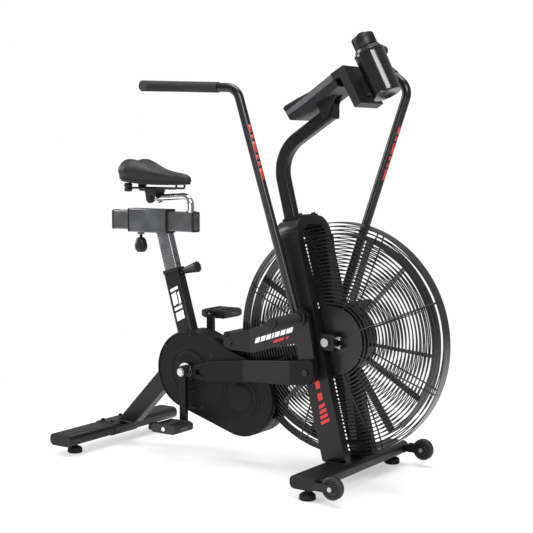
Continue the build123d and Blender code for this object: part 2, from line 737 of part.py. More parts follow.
with BuildPart() as handle_arm_right:
    bar(ARM, 24, -136, -102)
    link(ARM, 28, ROD_PIN_RIGHT, 28, -127, -112)
    with BuildLine() as tube_path:
        FilletPolyline(tube_start, at(*UPPER_BEND), outer_bend, tube_end, radius=BEND_RADIUS)
    with BuildSketch(Plane(origin=tube_start, z_dir=tube_path.line % 0)):
        Circle(TUBE_RADIUS)
    sweep(path=tube_path.line)
    bar(ARM, ARM_AXLE_RADIUS + 0.06, -142, -100, CUT)
    bar(ROD_PIN_RIGHT, 6.0, -147, -120)
    bar(ROD_PIN_RIGHT, 10.0, -148.5, -144.3)
    # keep the tube clear of the foot peg
    bar(ARM, 18, -160, -138.5, CUT)
save(handle_arm_right.part, "handle_arm_right")

with BuildPart() as grip_right:
    with BuildLine() as grip_path:
        FilletPolyline(grip_start, outer_bend, tube_end, radius=BEND_RADIUS)
    with BuildSketch(Plane(origin=grip_start, z_dir=grip_path.line % 0)):
        Circle(GRIP_RADIUS)
        Circle(TUBE_RADIUS + 0.04, mode=CUT)
    sweep(path=grip_path.line)
    # closed end
    with BuildSketch(Plane(origin=grip_path.line @ 1, z_dir=grip_path.line % 1)):
        Circle(GRIP_RADIUS)
    extrude(amount=3)
save(grip_right.part, "grip_right")


def swung_left(part):
    """Left-hand copy, swung about the arm pivot."""
    with BuildPart() as copy:
        add(mirror(part, about=Plane.XZ, mode=Mode.PRIVATE).rotate(cross_axis(ARM), SWING))
    return copy.part


save(swung_left(handle_arm_right.part), "handle_arm_left")
save(swung_left(grip_right.part), "grip_left")

# ============================================================ handle rods
ROD_TILT = 0.6                # change of left rod angle per degree of arm swing
RELIEF_STEP = 1.2             # degrees of arm swing between relief positions
ROD_EYE_RIGHT = (-647.0, CRANK_Z)


def left_rod_pin(swing):
    """Rod pin of the left arm after it swings forward by some degrees."""
    lean = radians(ARM_LEAN - SWING + swing)
    return (ARM_X + LOWER_ARM * sin(lean), ARM_Z - LOWER_ARM * cos(lean))


ROD_PIN_LEFT = left_rod_pin(0)
# the left rod is as long as the right one, with its eye at crank height
ROD_LENGTH = hypot(ROD_PIN_RIGHT[0] - ROD_EYE_RIGHT[0], ROD_PIN_RIGHT[1] - CRANK_Z)
ROD_EYE_LEFT = (ROD_PIN_LEFT[0] - sqrt(ROD_LENGTH ** 2 - (ROD_PIN_LEFT[1] - CRANK_Z) ** 2),
                CRANK_Z)


def handle_rod(hand, eye, pin, slant_rear, slant_front, spindle_relief):
    """Rod from the eye by the crank to the arm pin; it slants outward going forward."""
    length = hypot(pin[0] - eye[0], pin[1] - eye[1])
    dir_x, dir_z = (pin[0] - eye[0]) / length, (pin[1] - eye[1]) / length

    def on_rod(u, v):
        """Side-view point, u along the rod from the eye and v above its line."""
        return (eye[0] + u * dir_x - v * dir_z, eye[1] + u * dir_z + v * dir_x)

    outline = [
        (0, 24), (42, 32.5), (length - 10, 37), (length + 22, 37), (length + 30, 29),
        (length + 30, -12), (length + 8, -37), (42, -32.5), (0, -24),
    ]
    # plan (x, distance from centreline)
    plan = [
        (eye[0] - 60, 50), (slant_rear, 50), (slant_front, 130), (pin[0] + 60, 130),
        (pin[0] + 60, 144), (slant_front - 2, 144), (slant_rear - 2, 64), (eye[0] - 60, 64),
    ]
    with BuildPart() as rod:
        plate([on_rod(u, v) for u, v in outline], -150, 150)
        bar(eye, 24, -150, 150)
        with BuildSketch(level(100)):
            with BuildLine():
                Polyline(*[(x, hand * y) for x, y in plan], close=True)
            make_face()
        extrude(amount=400, mode=Mode.INTERSECT)
        bar(eye, 9, -150, 150, CUT)
        bar(pin, 6.06, -150, 150, CUT)
        if spindle_relief:
            # the path the crank spindle follows in the rod's own frame
            path = []
            for i in range(15):
                swing = i * RELIEF_STEP
                pin_x, pin_z = left_rod_pin(swing)
                incline = atan2(dir_z, dir_x) + radians(ROD_TILT * swing)
                dx = CRANK_X - (pin_x - length * cos(incline))
                dz = CRANK_Z - (pin_z - length * sin(incline))
                path.append((dx * cos(incline) + dz * sin(incline),
                             -dx * sin(incline) + dz * cos(incline)))
            for start, end in zip(path, path[1:]):
                if min(start[1], end[1]) < 48:
                    link(on_rod(*start), 12.2, on_rod(*end), 12.25, -150, 150, CUT)
    return rod.part


save(handle_rod(RIGHT, ROD_EYE_RIGHT, ROD_PIN_RIGHT, -465, -235, spindle_relief=False),
     "rod_right")
save(handle_rod(LEFT, ROD_EYE_LEFT, ROD_PIN_LEFT, -500, -331, spindle_relief=True), "rod_left")

# ============================================================ seat post and slider
PIN_PITCH = 30.0              # spacing of the pull pin holes
with BuildPart() as seat_post:
    with BuildSketch(seat_plane.offset(180)):
        RectangleRounded(32, 50, 4)
    extrude(amount=330)
    split(bisect_by=Plane.XY.offset(734.97), keep=Keep.BOTTOM)
    for k in range(-2, 4):
        hole = seat_point(PIN_STATION - PIN_PITCH * k)
        with BuildSketch(along(hole, SEAT_LEAN).offset(20)):
            Circle(5.5)
        extrude(amount=10, mode=CUT)
save(seat_post.part, "seat_post")

SLEEVE_REAR, SLEEVE_LENGTH = -966.0, 158.0
SLIDER_REAR, SLIDER_LENGTH, SLIDER_END_WALL = -1043.0, 343.0, 4.0
KNOB_X = -933.0
slide_plane = along((0, SLIDER_Z), 0)
with BuildPart() as seat_sleeve:
    with BuildSketch(slide_plane.offset(SLEEVE_REAR)):
        RectangleRounded(48, 80, 5)
        RectangleRounded(42.4, 72.4, 3, mode=CUT)
    extrude(amount=SLEEVE_LENGTH)
    # threaded boss for the knob below
    with BuildSketch(level(727, KNOB_X)):
        Circle(12)
    extrude(amount=9)
    with BuildSketch(level(720, KNOB_X)):
        Circle(5.06)
    extrude(amount=30, mode=CUT)
save(seat_sleeve.part, "seat_sleeve")

# a flange outside each end of the sleeve, and a liner reaching into it
with BuildPart() as sleeve_bushings:
    for x, outward in ((SLEEVE_REAR - 0.02, -1), (SLEEVE_REAR + SLEEVE_LENGTH + 0.02, 1)):
        with BuildSketch(slide_plane.offset(x)):
            RectangleRounded(52, 80, 6)
            RectangleRounded(36.4, 65.4, 5, mode=CUT)
        extrude(amount=4 * outward)
        with BuildSketch(slide_plane.offset(x)):
            RectangleRounded(42.0, 72.0, 2.8)
            RectangleRounded(36.4, 65.4, 5, mode=CUT)
        extrude(amount=-14 * outward)
save(sleeve_bushings.part, "sleeve_bushings")

with BuildPart() as seat_slider:
    with BuildSketch(slide_plane.offset(SLIDER_REAR)):
        RectangleRounded(36, SLIDER_HEIGHT, 5)
    extrude(amount=SLIDER_LENGTH)
    with BuildSketch(slide_plane.offset(SLIDER_REAR + SLIDER_END_WALL)):
        RectangleRounded(31, SLIDER_HEIGHT - 5, 3)
    extrude(amount=SLIDER_LENGTH - 2 * SLIDER_END_WALL, mode=CUT)
save(seat_slider.part, "seat_slider")

# ============================================================ saddle
SADDLE_POST_X = -719
SADDLE_POST_Z = SLIDER_Z + SLIDER_HEIGHT / 2 + GAP
SADDLE_PIVOT = (-871, 851)
RAIL_FRONT, RAIL_REAR, RAIL_Z = -762, -958, 884
with BuildPart() as saddle_post:
    with BuildLine() as saddle_post_path:
        FilletPolyline(at(SADDLE_POST_X, 0, SADDLE_POST_Z), at(SADDLE_POST_X, 0, 861),
                       at(SADDLE_PIVOT[0], 0, SADDLE_PIVOT[1]), radius=30)
    with BuildSketch(level(SADDLE_POST_Z, SADDLE_POST_X)):
        Circle(11)
    sweep(path=saddle_post_path.line)
    with BuildSketch(level(SADDLE_POST_Z, SADDLE_POST_X)):
        Circle(17)
    extrude(amount=4)
    bar(SADDLE_PIVOT, 14, -20, 20)
    bar(SADDLE_PIVOT, 4.06, -30, 30, CUT)
save(saddle_post.part, "saddle_post")

with BuildPart() as saddle_clamp:
    for hand in SIDES:
        cheek = span(hand, 20.06, 27)
        bar(SADDLE_PIVOT, 17, *cheek)
        plate([(-888, 851), (-854, 851), (-849, RAIL_Z), (-893, RAIL_Z)], *cheek)
    plate([(-893, 870), (-849, 870), (-849, RAIL_Z), (-893, RAIL_Z)], -27, 27)
    bar(SADDLE_PIVOT, 4.0, -31, 31)
    for y0 in (-31.5, 27.0):
        bar(SADDLE_PIVOT, 8, y0, y0 + 4.5)
    # rails turned up at both ends to the saddle
    for y in (-22, 22):
        rail_start = at(RAIL_FRONT, y, SADDLE_Z - GAP)
        with BuildLine() as rail:
            FilletPolyline(rail_start, at(RAIL_FRONT, y, RAIL_Z), at(RAIL_REAR, y, RAIL_Z),
                           at(RAIL_REAR, y, SADDLE_Z - GAP), radius=6)
        with BuildSketch(Plane(origin=rail_start, x_dir=(1, 0, 0), z_dir=(0, 0, -1))):
            Circle(3.5)
        sweep(path=rail.line)
save(saddle_clamp.part, "saddle_clamp")

# (x, z) over the top, from the lower nose to the tail
SADDLE_SIDE = [
    (-726, 898), (-721, 908), (-742, 921), (-795, 944), (-870, 968), (-930, 980), (-960, 980),
    (-982, 968), (-990, 948), (-980, 915), (-970, SADDLE_Z),
]
# (x, y) of the left half in plan, nose to tail
SADDLE_PLAN = [
    (-720, 0), (-728, 18), (-765, 26), (-825, 38), (-870, 60), (-915, 82), (-955, 89),
    (-985, 70), (-991, 0),
]
with BuildPart() as saddle:
    with BuildSketch(side(135)):
        with BuildLine():
            Spline(*SADDLE_SIDE)
            Line(SADDLE_SIDE[-1], SADDLE_SIDE[0])
        make_face()
    extrude(amount=270)
    with BuildSketch(level(880)):
        with BuildLine():
            Spline(*SADDLE_PLAN)
            Spline(*[(x, -y) for x, y in reversed(SADDLE_PLAN)])
        make_face()
    extrude(amount=120, mode=Mode.INTERSECT)
    split(bisect_by=Plane.XY.offset(SADDLE_Z), keep=Keep.TOP)
save(saddle.part, "saddle")

# ============================================================ knobs
with BuildPart() as height_pin:
    with BuildSketch(pin_plane.offset(25.3)):
        Circle(5.0)
    extrude(amount=24)
    with BuildSketch(pin_plane.offset(42)):
        Circle(10)
    extrude(amount=60, taper=-8)
    # grip flutes
    with BuildSketch(pin_plane.offset(70)):
        with PolarLocations(19.6, 10):
            Circle(3.2)
    extrude(amount=40, mode=CUT)
save(height_pin.part, "height_pin")

# (radius, height) of the knob and its stud
SLIDER_KNOB_PROFILE = [(0, 666), (14, 667), (20, 676), (22, 688), (17, 708), (12, 715),
                       (5, 717), (5, 742.4), (0, 742.4)]
with BuildPart() as slider_knob:
    with BuildSketch(upright(KNOB_X, 0)):
        with BuildLine():
            Polyline(*SLIDER_KNOB_PROFILE, close=True)
        make_face()
    revolve(axis=Axis(at(KNOB_X, 0, 0), (0, 0, 1)))
    # grip flutes
    with BuildSketch(level(660, KNOB_X)):
        with PolarLocations(24.5, 8):
            Circle(6)
    extrude(amount=60, mode=CUT)
save(slider_knob.part, "slider_knob")

# ============================================================ console
CONSOLE_REAR = (-308, 1128)   # rear end of the top line
CONSOLE_LENGTH = 196
BUTTON_ALONG, BUTTON_PITCH, BUTTON_RADIUS = 140, 30, 8
SCREEN_ALONG, SCREEN_LENGTH, SCREEN_WIDTH, SCREEN_DEPTH = 70, 104, 92, 3
console_cos, console_sin = cos(radians(33.3)), sin(radians(33.3))


def on_console(run, rise):
    """Side-view point, run along the console top line from its rear end, rise above it."""
    return (CONSOLE_REAR[0] + run * console_cos - rise * console_sin,
            CONSOLE_REAR[1] + run * console_sin + rise * console_cos)


console_face = Plane(origin=at(CONSOLE_REAR[0], 0, CONSOLE_REAR[1]),
                     x_dir=(console_cos, 0, console_sin), z_dir=(-console_sin, 0, console_cos))
# (run, rise)
CONSOLE_BODY = [(0, 0), (CONSOLE_LENGTH, 0), (CONSOLE_LENGTH, -44), (60, -42), (6, -36),
                (0, -30)]
BEZEL_RAIL = [(0, -2), (-2, 12), (10, 15), (60, 8), (110, -1)]
# (x, z)
MOUNTING_CHEEK = [(-192, 1103.5), (-183, 1108), (-172, 1130), (-150, 1185), (-215, 1144),
                  (-203, 1110)]

with BuildPart() as console_body:
    plate([on_console(*point) for point in CONSOLE_BODY], -61, 61)
    for hand in SIDES:
        plate([on_console(*point) for point in BEZEL_RAIL], *span(hand, 54, 61))
    for hand in SIDES:
        plate(MOUNTING_CHEEK, *span(hand, 16.4, 22))
    bar(CONSOLE_PIVOT, 4.0, -26, 26)
    for hand in SIDES:
        bar(CONSOLE_PIVOT, 7.0, *span(hand, 22, 26))
    # screen recess and button bores
    with BuildSketch(console_face.offset(-SCREEN_DEPTH)):
        with Locations((SCREEN_ALONG, 0)):
            RectangleRounded(SCREEN_LENGTH, SCREEN_WIDTH, 5)
    extrude(amount=8, mode=CUT)
    with BuildSketch(console_face.offset(-10)):
        with Locations(*[(BUTTON_ALONG, k * BUTTON_PITCH) for k in (-1, 0, 1)]):
            Circle(BUTTON_RADIUS + 0.06)
    extrude(amount=20, mode=CUT)
save(console_body.part, "console_body")

with BuildPart() as console_screen:
    with BuildSketch(console_face.offset(-SCREEN_DEPTH + GAP)):
        with Locations((SCREEN_ALONG, 0)):
            RectangleRounded(SCREEN_LENGTH - 0.2, SCREEN_WIDTH - 0.2, 4.9)
    extrude(amount=2.45)
save(console_screen.part, "console_screen")

for name, y in (("left", BUTTON_PITCH), ("mid", 0), ("right", -BUTTON_PITCH)):
    with BuildPart() as button:
        with BuildSketch(console_face.offset(-7)):
            with Locations((BUTTON_ALONG, y)):
                Circle(BUTTON_RADIUS)
        extrude(amount=9)
    save(button.part, "button_" + name)

# ============================================================ bottle holder
HOLDER_BASE, HOLDER_TOP = (13.0, 1174.0), (-52.0, 1299.0)   # axis, leaning back
HOLDER_TAPER = -1.2
holder_dx, holder_dz = HOLDER_TOP[0] - HOLDER_BASE[0], HOLDER_TOP[1] - HOLDER_BASE[1]
holder_length = hypot(holder_dx, holder_dz)
holder_plane = along(HOLDER_BASE, degrees(atan2(holder_dz, holder_dx)))

with BuildPart() as accessory_bracket:
    plate([on_console(CONSOLE_LENGTH + GAP, 0), (-101, 1260), (-39, 1149), (-61, 1136),
           (-113, 1228), on_console(CONSOLE_LENGTH + GAP, -22)], -68, 68)
    # standoff to the holder
    plate([(-78, 1218.8), (-60, 1229), (-34, 1184), (-50, 1170)], -20, 20)
    split(bisect_by=Plane.YZ.offset(WHEEL_AXLE_X + HOLDER_BASE[0]), keep=Keep.BOTTOM)
    # seat for the tapered holder
    with BuildSketch(holder_plane.offset(-30)):
        Circle(42.45)
    extrude(amount=holder_length + 60, taper=HOLDER_TAPER, mode=CUT)
save(accessory_bracket.part, "accessory_bracket")

with BuildPart() as bottle_holder:
    with BuildSketch(holder_plane):
        Circle(43)
    extrude(amount=holder_length, taper=HOLDER_TAPER)
    with BuildSketch(holder_plane.offset(4)):
        Circle(40.4)
    extrude(amount=holder_length, taper=HOLDER_TAPER, mode=CUT)
save(bottle_holder.part, "bottle_holder")

with BuildPart() as bottle:
    with BuildSketch(holder_plane.offset(4 + GAP)):
        Circle(39)
    extrude(amount=148)
    # neck
    with BuildSketch(holder_plane.offset(150)):
        Circle(29)
    extrude(amount=14)
save(bottle.part, "bottle")

with BuildPart() as bottle_cap:
    with BuildSketch(holder_plane.offset(157)):
        Circle(34)
    extrude(amount=36)
    # spout
    with BuildSketch(holder_plane.offset(190)):
        Circle(12)
    extrude(amount=14)
    # socket over the neck
    with BuildSketch(holder_plane.offset(150)):
        Circle(29.2)
    extrude(amount=15, mode=CUT)
save(bottle_cap.part, "bottle_cap")
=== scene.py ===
"""Looks of an upright exercise bike with swinging handle arms: detail meshes, finishes and studio.

+X runs toward the handlebars, +Y is the left side and +Z is up; the floor is at z = 0.
Stations are millimetres from the transport wheel axle in x; other lengths are metres.
"""
import bpy
import bmesh
import json
import math
import random
from mathutils import Vector, Matrix


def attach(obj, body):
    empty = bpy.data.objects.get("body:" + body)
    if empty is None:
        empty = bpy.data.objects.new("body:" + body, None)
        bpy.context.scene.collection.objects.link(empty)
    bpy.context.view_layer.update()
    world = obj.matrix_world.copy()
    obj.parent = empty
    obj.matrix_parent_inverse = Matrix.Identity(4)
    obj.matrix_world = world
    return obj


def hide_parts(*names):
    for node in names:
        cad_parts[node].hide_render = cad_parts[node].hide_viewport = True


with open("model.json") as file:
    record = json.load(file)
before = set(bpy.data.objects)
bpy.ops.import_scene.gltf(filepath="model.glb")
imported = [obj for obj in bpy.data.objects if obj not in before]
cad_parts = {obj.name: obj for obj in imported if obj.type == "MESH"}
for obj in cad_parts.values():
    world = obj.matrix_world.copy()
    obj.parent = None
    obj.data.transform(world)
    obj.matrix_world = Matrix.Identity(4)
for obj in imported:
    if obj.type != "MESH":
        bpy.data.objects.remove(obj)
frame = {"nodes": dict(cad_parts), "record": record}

random.seed(7)
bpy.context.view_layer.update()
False  # a bare constant with no effect

NODES = frame["nodes"]
SLOTS = {part["node"]: part["material_slot"] for part in frame["record"]["subparts"]}

# Driving stations
WHEEL_AXLE_X = 0.4415     # metres
CRANK_X, CRANK_Z = -695, 290
CRANK_LENGTH = 172
BOSS_X, BOSS_Z = -487, 222    # centre of the front end of the case
PIVOT_X, PIVOT_Z = -210, 510  # handle arm pivot and foot pegs
SLIDER_Z = 775
CASE_FACE_Y = 46.4
SIDES = (("r", -1), ("l", 1))  # tag, sign of y


def at(x, y, z):
    """Point from millimetre stations."""
    return Vector((WHEEL_AXLE_X + x / 1000.0, y / 1000.0, z / 1000.0))


def tilted_axes(degrees):
    """Unit vectors up and forward of a part that leans back by an angle."""
    lean = math.radians(degrees)
    up = Vector((-math.sin(lean), 0, math.cos(lean)))
    return up, Vector((math.cos(lean), 0, math.sin(lean)))


# ------------------------------------------------------------------ materials
# name, colour, roughness, metallic, grain scale, bump strength, roughness spread,
# colour spread, scale of the slow variation, coat (0 if left out), specular (0.5 if left out)
FINISHES = (
    ("frame_coat", (0.0035, 0.0035, 0.0038), 0.36, 0, 1400, 0.10, 0.08, 0.2, 9, 0.08, 0.26),
    ("stab_coat", (0.004, 0.004, 0.0043), 0.40, 0, 1400, 0.12, 0.08, 0.2, 9, 0.08, 0.28),
    ("tube_coat", (0.004, 0.004, 0.0043), 0.30, 0, 1400, 0.06, 0.08, 0.2, 9, 0.15, 0.32),
    ("rod_coat", (0.0030, 0.0030, 0.0033), 0.42, 0, 1400, 0.10, 0.08, 0.2, 9, 0.04, 0.15),
    ("cap_plastic", (0.005, 0.005, 0.005), 0.50, 0, 700, 0.25, 0.10, 0.3, 30, 0, 0.28),
    ("foot_rubber", (0.007, 0.007, 0.007), 0.75, 0, 500, 0.35, 0.12, 0.4, 40, 0, 0.3),
    ("wheel_tyre", (0.010, 0.010, 0.011), 0.55, 0, 500, 0.25, 0.14, 0.4, 40, 0, 0.4),
    ("zinc", (0.45, 0.45, 0.44), 0.32, 1, 800, 0.10, 0.10, 0.2, 60),
    ("chrome", (0.60, 0.61, 0.62), 0.14, 1, 900, 0.02, 0.05, 0.06, 30),
    ("bolt_black", (0.012, 0.012, 0.012), 0.38, 0.5, 900, 0.10, 0.10, 0.3, 60),
    ("wire_black", (0.005, 0.005, 0.005), 0.34, 0, 1500, 0.05, 0.08, 0.3, 20, 0.15, 0.4),
    ("band_black", (0.005, 0.005, 0.005), 0.28, 0, 1500, 0.05, 0.08, 0.3, 20, 0.2, 0.4),
    ("fan_black", (0.010, 0.010, 0.011), 0.42, 0.2, 900, 0.10, 0.12, 0.3, 12, 0.05, 0.35),
    ("case_plastic", (0.0036, 0.0036, 0.0039), 0.46, 0, 1000, 0.22, 0.09, 0.25, 10, 0, 0.16),
    ("belt_rubber", (0.015, 0.015, 0.015), 0.7, 0, 700, 0.3, 0.1, 0.3, 40),
    ("pulley_alu", (0.10, 0.10, 0.105), 0.38, 0.8, 700, 0.10, 0.12, 0.25, 25),
    ("bearing_steel", (0.45, 0.45, 0.45), 0.25, 1, 700, 0.05, 0.08, 0.1, 25),
    ("pedal_plastic", (0.008, 0.008, 0.008), 0.5, 0, 600, 0.3, 0.12, 0.3, 40, 0, 0.4),
    ("grip_rubber", (0.011, 0.011, 0.0115), 0.72, 0, 700, 0.9, 0.10, 0.3, 25, 0, 0.4),
    ("post_silver", (0.20, 0.20, 0.21), 0.30, 0.9, 500, 0.12, 0.10, 0.2, 20),
    ("sleeve_grey", (0.080, 0.082, 0.086), 0.34, 0.6, 900, 0.10, 0.10, 0.3, 20, 0.1),
    ("slider_silver", (0.085, 0.085, 0.089), 0.32, 0.6, 600, 0.10, 0.10, 0.3, 20),
    ("vinyl", (0.0045, 0.0045, 0.005), 0.44, 0, 900, 0.35, 0.10, 0.3, 18, 0, 0.34),
    ("knob_plastic", (0.0045, 0.0045, 0.0045), 0.42, 0, 800, 0.2, 0.10, 0.3, 40, 0, 0.32),
    ("console_grey", (0.009, 0.0095, 0.0105), 0.42, 0, 1100, 0.2, 0.10, 0.2, 14, 0, 0.30),
    ("screen_glass", (0.015, 0.02, 0.02), 0.10, 0, 1200, 0.01, 0.04, 0.2, 8, 0.6),
    ("button_grey", (0.25, 0.25, 0.25), 0.55, 0, 800, 0.2, 0.1, 0.2, 40),
    ("bracket_grey", (0.008, 0.0085, 0.0095), 0.42, 0, 1100, 0.2, 0.10, 0.2, 14, 0, 0.30),
    ("holder_gloss", (0.004, 0.004, 0.0045), 0.16, 0, 1000, 0.03, 0.07, 0.3, 10, 0.4, 0.45),
    ("bottle_pp", (0.012, 0.012, 0.013), 0.32, 0, 900, 0.05, 0.1, 0.1, 20, 0.1),
    ("bottle_cap_pp", (0.007, 0.007, 0.007), 0.4, 0, 900, 0.15, 0.1, 0.3, 30, 0.05, 0.4),
    ("spout_pp", (0.62, 0.64, 0.65), 0.35, 0, 900, 0.05, 0.1, 0.1, 20, 0.1),
    ("clamp_black", (0.012, 0.012, 0.013), 0.36, 0.4, 900, 0.08, 0.10, 0.3, 60, 0.1),
    ("white_print", (0.75, 0.75, 0.75), 0.45, 0, 1200, 0.05, 0.1, 0.06, 40),
    ("red_print", (0.55, 0.02, 0.015), 0.42, 0, 1200, 0.05, 0.1, 0.12, 40),
    ("thread_grey", (0.06, 0.06, 0.06), 0.8, 0, 900, 0.4, 0.1, 0.3, 60),
    ("lcd_grey", (0.30, 0.34, 0.30), 0.3, 0, 900, 0.02, 0.05, 0.1, 30),
)
# strength of the painted highlight, a lighter tone on sharp edges
EDGE_HIGHLIGHT = {
    "frame_coat": 0.06, "stab_coat": 0.08, "rod_coat": 0.08, "fan_black": 0.35,
    "post_silver": 0.5, "sleeve_grey": 0.35, "slider_silver": 0.35, "bracket_grey": 0.15,
}
# scale of the grain along x, y, z, for brushed metal
BRUSHING = {"post_silver": (1, 1, 0.03), "slider_silver": (0.03, 1, 1)}
# cell texture in the bump: feature, scale, distances where the cell starts and ends,
# share of the fine grain laid over it
CELLS = {
    "grip_rubber": ("F1", 260.0, 0.15, 0.45, 0.25),
    "vinyl": ("DISTANCE_TO_EDGE", 420.0, 0.0, 0.12, 0.5),
}


def set_inputs(tree, node, inputs):
    """Set each input to a value, or link it if a socket is given."""
    for key, value in inputs.items():
        if isinstance(value, bpy.types.NodeSocket):
            tree.links.new(value, node.inputs[key])
        else:
            node.inputs[key].default_value = value


def add_node(tree, kind, inputs, **settings):
    node = tree.nodes.new("ShaderNode" + kind)
    for key, value in settings.items():
        setattr(node, key, value)
    set_inputs(tree, node, inputs)
    return node


def add_ramp(tree, value, *stops):
    """Two-stop colour ramp; each stop is (position, colour)."""
    node = add_node(tree, "ValToRGB", {"Fac": value})
    for element, (position, colour) in zip(node.color_ramp.elements, stops):
        element.position = position
        element.color = colour
    return node.outputs["Color"]


def new_material(name):
    made = bpy.data.materials.new(name)
    made.use_nodes = True
    return made, made.node_tree, made.node_tree.nodes["Principled BSDF"]


def edge_highlight_colour(tree, colour, base, strength):
    """Mix a lighter tone of the base colour in on convex edges, as a painted highlight."""
    geometry = add_node(tree, "NewGeometry", {})
    edges = add_ramp(tree, geometry.outputs["Pointiness"],
                     (0.53, (0, 0, 0, 1)), (0.62, (1, 1, 1, 1)))
    # painted highlight: lighter where the edges are sharpest
    highlight = add_node(tree, "Math", {0: edges, 1: strength}, operation="MULTIPLY")
    lighter = [min(1, v * 2.5 + 0.05) for v in base] + [1]
    mix = add_node(tree, "MixRGB",
                   {"Fac": highlight.outputs["Value"], "Color1": colour, "Color2": lighter})
    return mix.outputs["Color"]


def cell_height(tree, coords, grain, feature, scale, start, end, grain_share):
    """Bump height of raised cells with fine grain over them."""
    cells = add_node(tree, "TexVoronoi", {"Vector": coords}, feature=feature)
    cells.inputs["Scale"].default_value = scale
    raised = add_node(tree, "MapRange", {"Value": cells.outputs["Distance"],
                                         "From Min": start, "From Max": end})
    faint = add_node(tree, "Math", {0: grain, 1: grain_share}, operation="MULTIPLY")
    both = add_node(tree, "Math", {0: raised.outputs["Result"], 1: faint.outputs["Value"]},
                    operation="ADD")
    return both.outputs["Value"]


def make_finish(name, colour, roughness, metallic, grain_scale, bump, roughness_spread,
                colour_spread, slow_scale, coat=0.0, specular=0.5):
    """Fine grain in the bump, slow variation in colour and roughness, painted highlight on the
    edges.
    """
    made, tree, shader = new_material(name)
    coords = add_node(tree, "TexCoord", {}).outputs["Object"]
    mapping = add_node(tree, "Mapping", {"Vector": coords, "Scale": BRUSHING.get(name, (1, 1, 1))})
    grain = add_node(tree, "TexNoise", {
        "Vector": mapping.outputs["Vector"], "Scale": grain_scale, "Detail": 3.0}).outputs["Fac"]
    slow = add_node(tree, "TexNoise", {
        "Vector": coords, "Scale": slow_scale, "Detail": 6.0, "Roughness": 0.6}).outputs["Fac"]
    shine = add_node(tree, "MapRange", {"Value": slow,
                                        "To Min": max(0.03, roughness - roughness_spread),
                                        "To Max": min(1.0, roughness + roughness_spread)})
    dark = [v * (1 - colour_spread) for v in colour] + [1]
    light = [min(1, v * (1 + colour_spread)) for v in colour] + [1]
    shade = add_ramp(tree, slow, (0.3, dark), (0.7, light))
    # painted highlight on convex edges for the finishes listed in the table above
    if name in EDGE_HIGHLIGHT:
        shade = edge_highlight_colour(tree, shade, colour, EDGE_HIGHLIGHT[name])
    height = grain
    if name in CELLS:
        height = cell_height(tree, coords, grain, *CELLS[name])
    relief = add_node(tree, "Bump", {"Strength": bump, "Distance": 0.0006, "Height": height})
    set_inputs(tree, shader, {
        "Roughness": shine.outputs["Result"], "Base Color": shade, "Metallic": metallic,
        "Specular IOR Level": specular, "Normal": relief.outputs["Normal"]})
    if coat > 0:
        set_inputs(tree, shader, {"Coat Weight": coat, "Coat Roughness": 0.08})
    return made


MATERIALS = {row[0]: make_finish(*row) for row in FINISHES}


def give_material(ob, name):
    ob.data.materials.clear()
    ob.data.materials.append(MATERIALS[name])


# ------------------------------------------------------------------ CAD pieces
for part_name, part in NODES.items():
    slot = SLOTS.get(part_name)
    if slot in MATERIALS:
        give_material(part, slot)
give_material(NODES["saddle_clamp"], "clamp_black")

# bevel width in millimetres: pieces that get it, so that their edges catch the light
BEVELS = {
    2.4: "front_frame",
    2.2: "console_body",
    2.0: "rod_right rod_left",
    1.6: "main_frame case_right case_left accessory_bracket",
    1.2: "axle_blocks handle_arm_right handle_arm_left bottle_cap bottle",
    1.0: "pedal_right pedal_left end_caps wheel_right wheel_left",
    0.8: "mast crank_arm_right crank_arm_left sleeve_bushings bottle_holder seat_collar",
    0.7: "crank_discs",
    0.6: "seat_sleeve foot_pegs crank_hardware saddle_clamp slider_knob",
    0.5: "rear_stabilizer front_stabilizer seat_slider seat_post fixed_axles"
         " button_left button_mid button_right height_pin",
    0.4: "frame_bolts",
}


def add_bevel(ob, width, segments=2):
    bevel = ob.modifiers.new("bevel", "BEVEL")
    bevel.width = width
    bevel.segments = segments
    bevel.limit_method = "ANGLE"
    bevel.harden_normals = True
    return bevel


def soften(ob, width):
    """Weld the CAD mesh, then bevel its sharper edges."""
    weld = ob.modifiers.new("weld", "WELD")
    weld.merge_threshold = 0.00003
    bevel = add_bevel(ob, width)
    bevel.angle_limit = math.radians(38)
    bevel.use_clamp_overlap = True


for bevel_width, part_names in BEVELS.items():
    for part_name in part_names.split():
        if part_name in NODES:
            soften(NODES[part_name], bevel_width / 1000.0)


# ------------------------------------------------------------------ mesh tools
def finish(ob, material, body, smooth=True):
    give_material(ob, material)
    if smooth:
        for face in ob.data.polygons:
            face.use_smooth = True
    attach(ob, body)
    return ob


def link_object(name, mesh):
    ob = bpy.data.objects.new(name, mesh)
    bpy.context.scene.collection.objects.link(ob)
    return ob


def mesh_object(name, bm, outward=True):
    """Turn a bmesh into an object, with its faces made to point outward if asked."""
    if outward:
        bmesh.ops.recalc_face_normals(bm, faces=bm.faces)
    mesh = bpy.data.meshes.new(name)
    bm.normal_update()
    bm.to_mesh(mesh)
    bm.free()
    return link_object(name, mesh)


def new_ring(bm, points):
    return [bm.verts.new(point) for point in points]


def join_rings(bm, first, second):
    """Band of quads between two closed rings of equal count."""
    for k in range(len(first)):
        after = (k + 1) % len(first)
        bm.faces.new((first[k], second[k], second[after], first[after]))


def loft(bm, rings, closed=False):
    """Skin through rings, with end caps or closed on itself."""
    for first, second in zip(rings, rings[1:]):
        join_rings(bm, first, second)
    if closed:
        join_rings(bm, rings[-1], rings[0])
    else:
        bm.faces.new(rings[0][::-1])
        bm.faces.new(rings[-1])


def add_prism(bm, bottom_points, top_points):
    bottom = new_ring(bm, bottom_points)
    top = new_ring(bm, top_points)
    bm.faces.new(bottom[::-1])
    bm.faces.new(top)
    for i in range(len(bottom)):
        j = (i + 1) % len(bottom)
        bm.faces.new((bottom[i], bottom[j], top[j], top[i]))


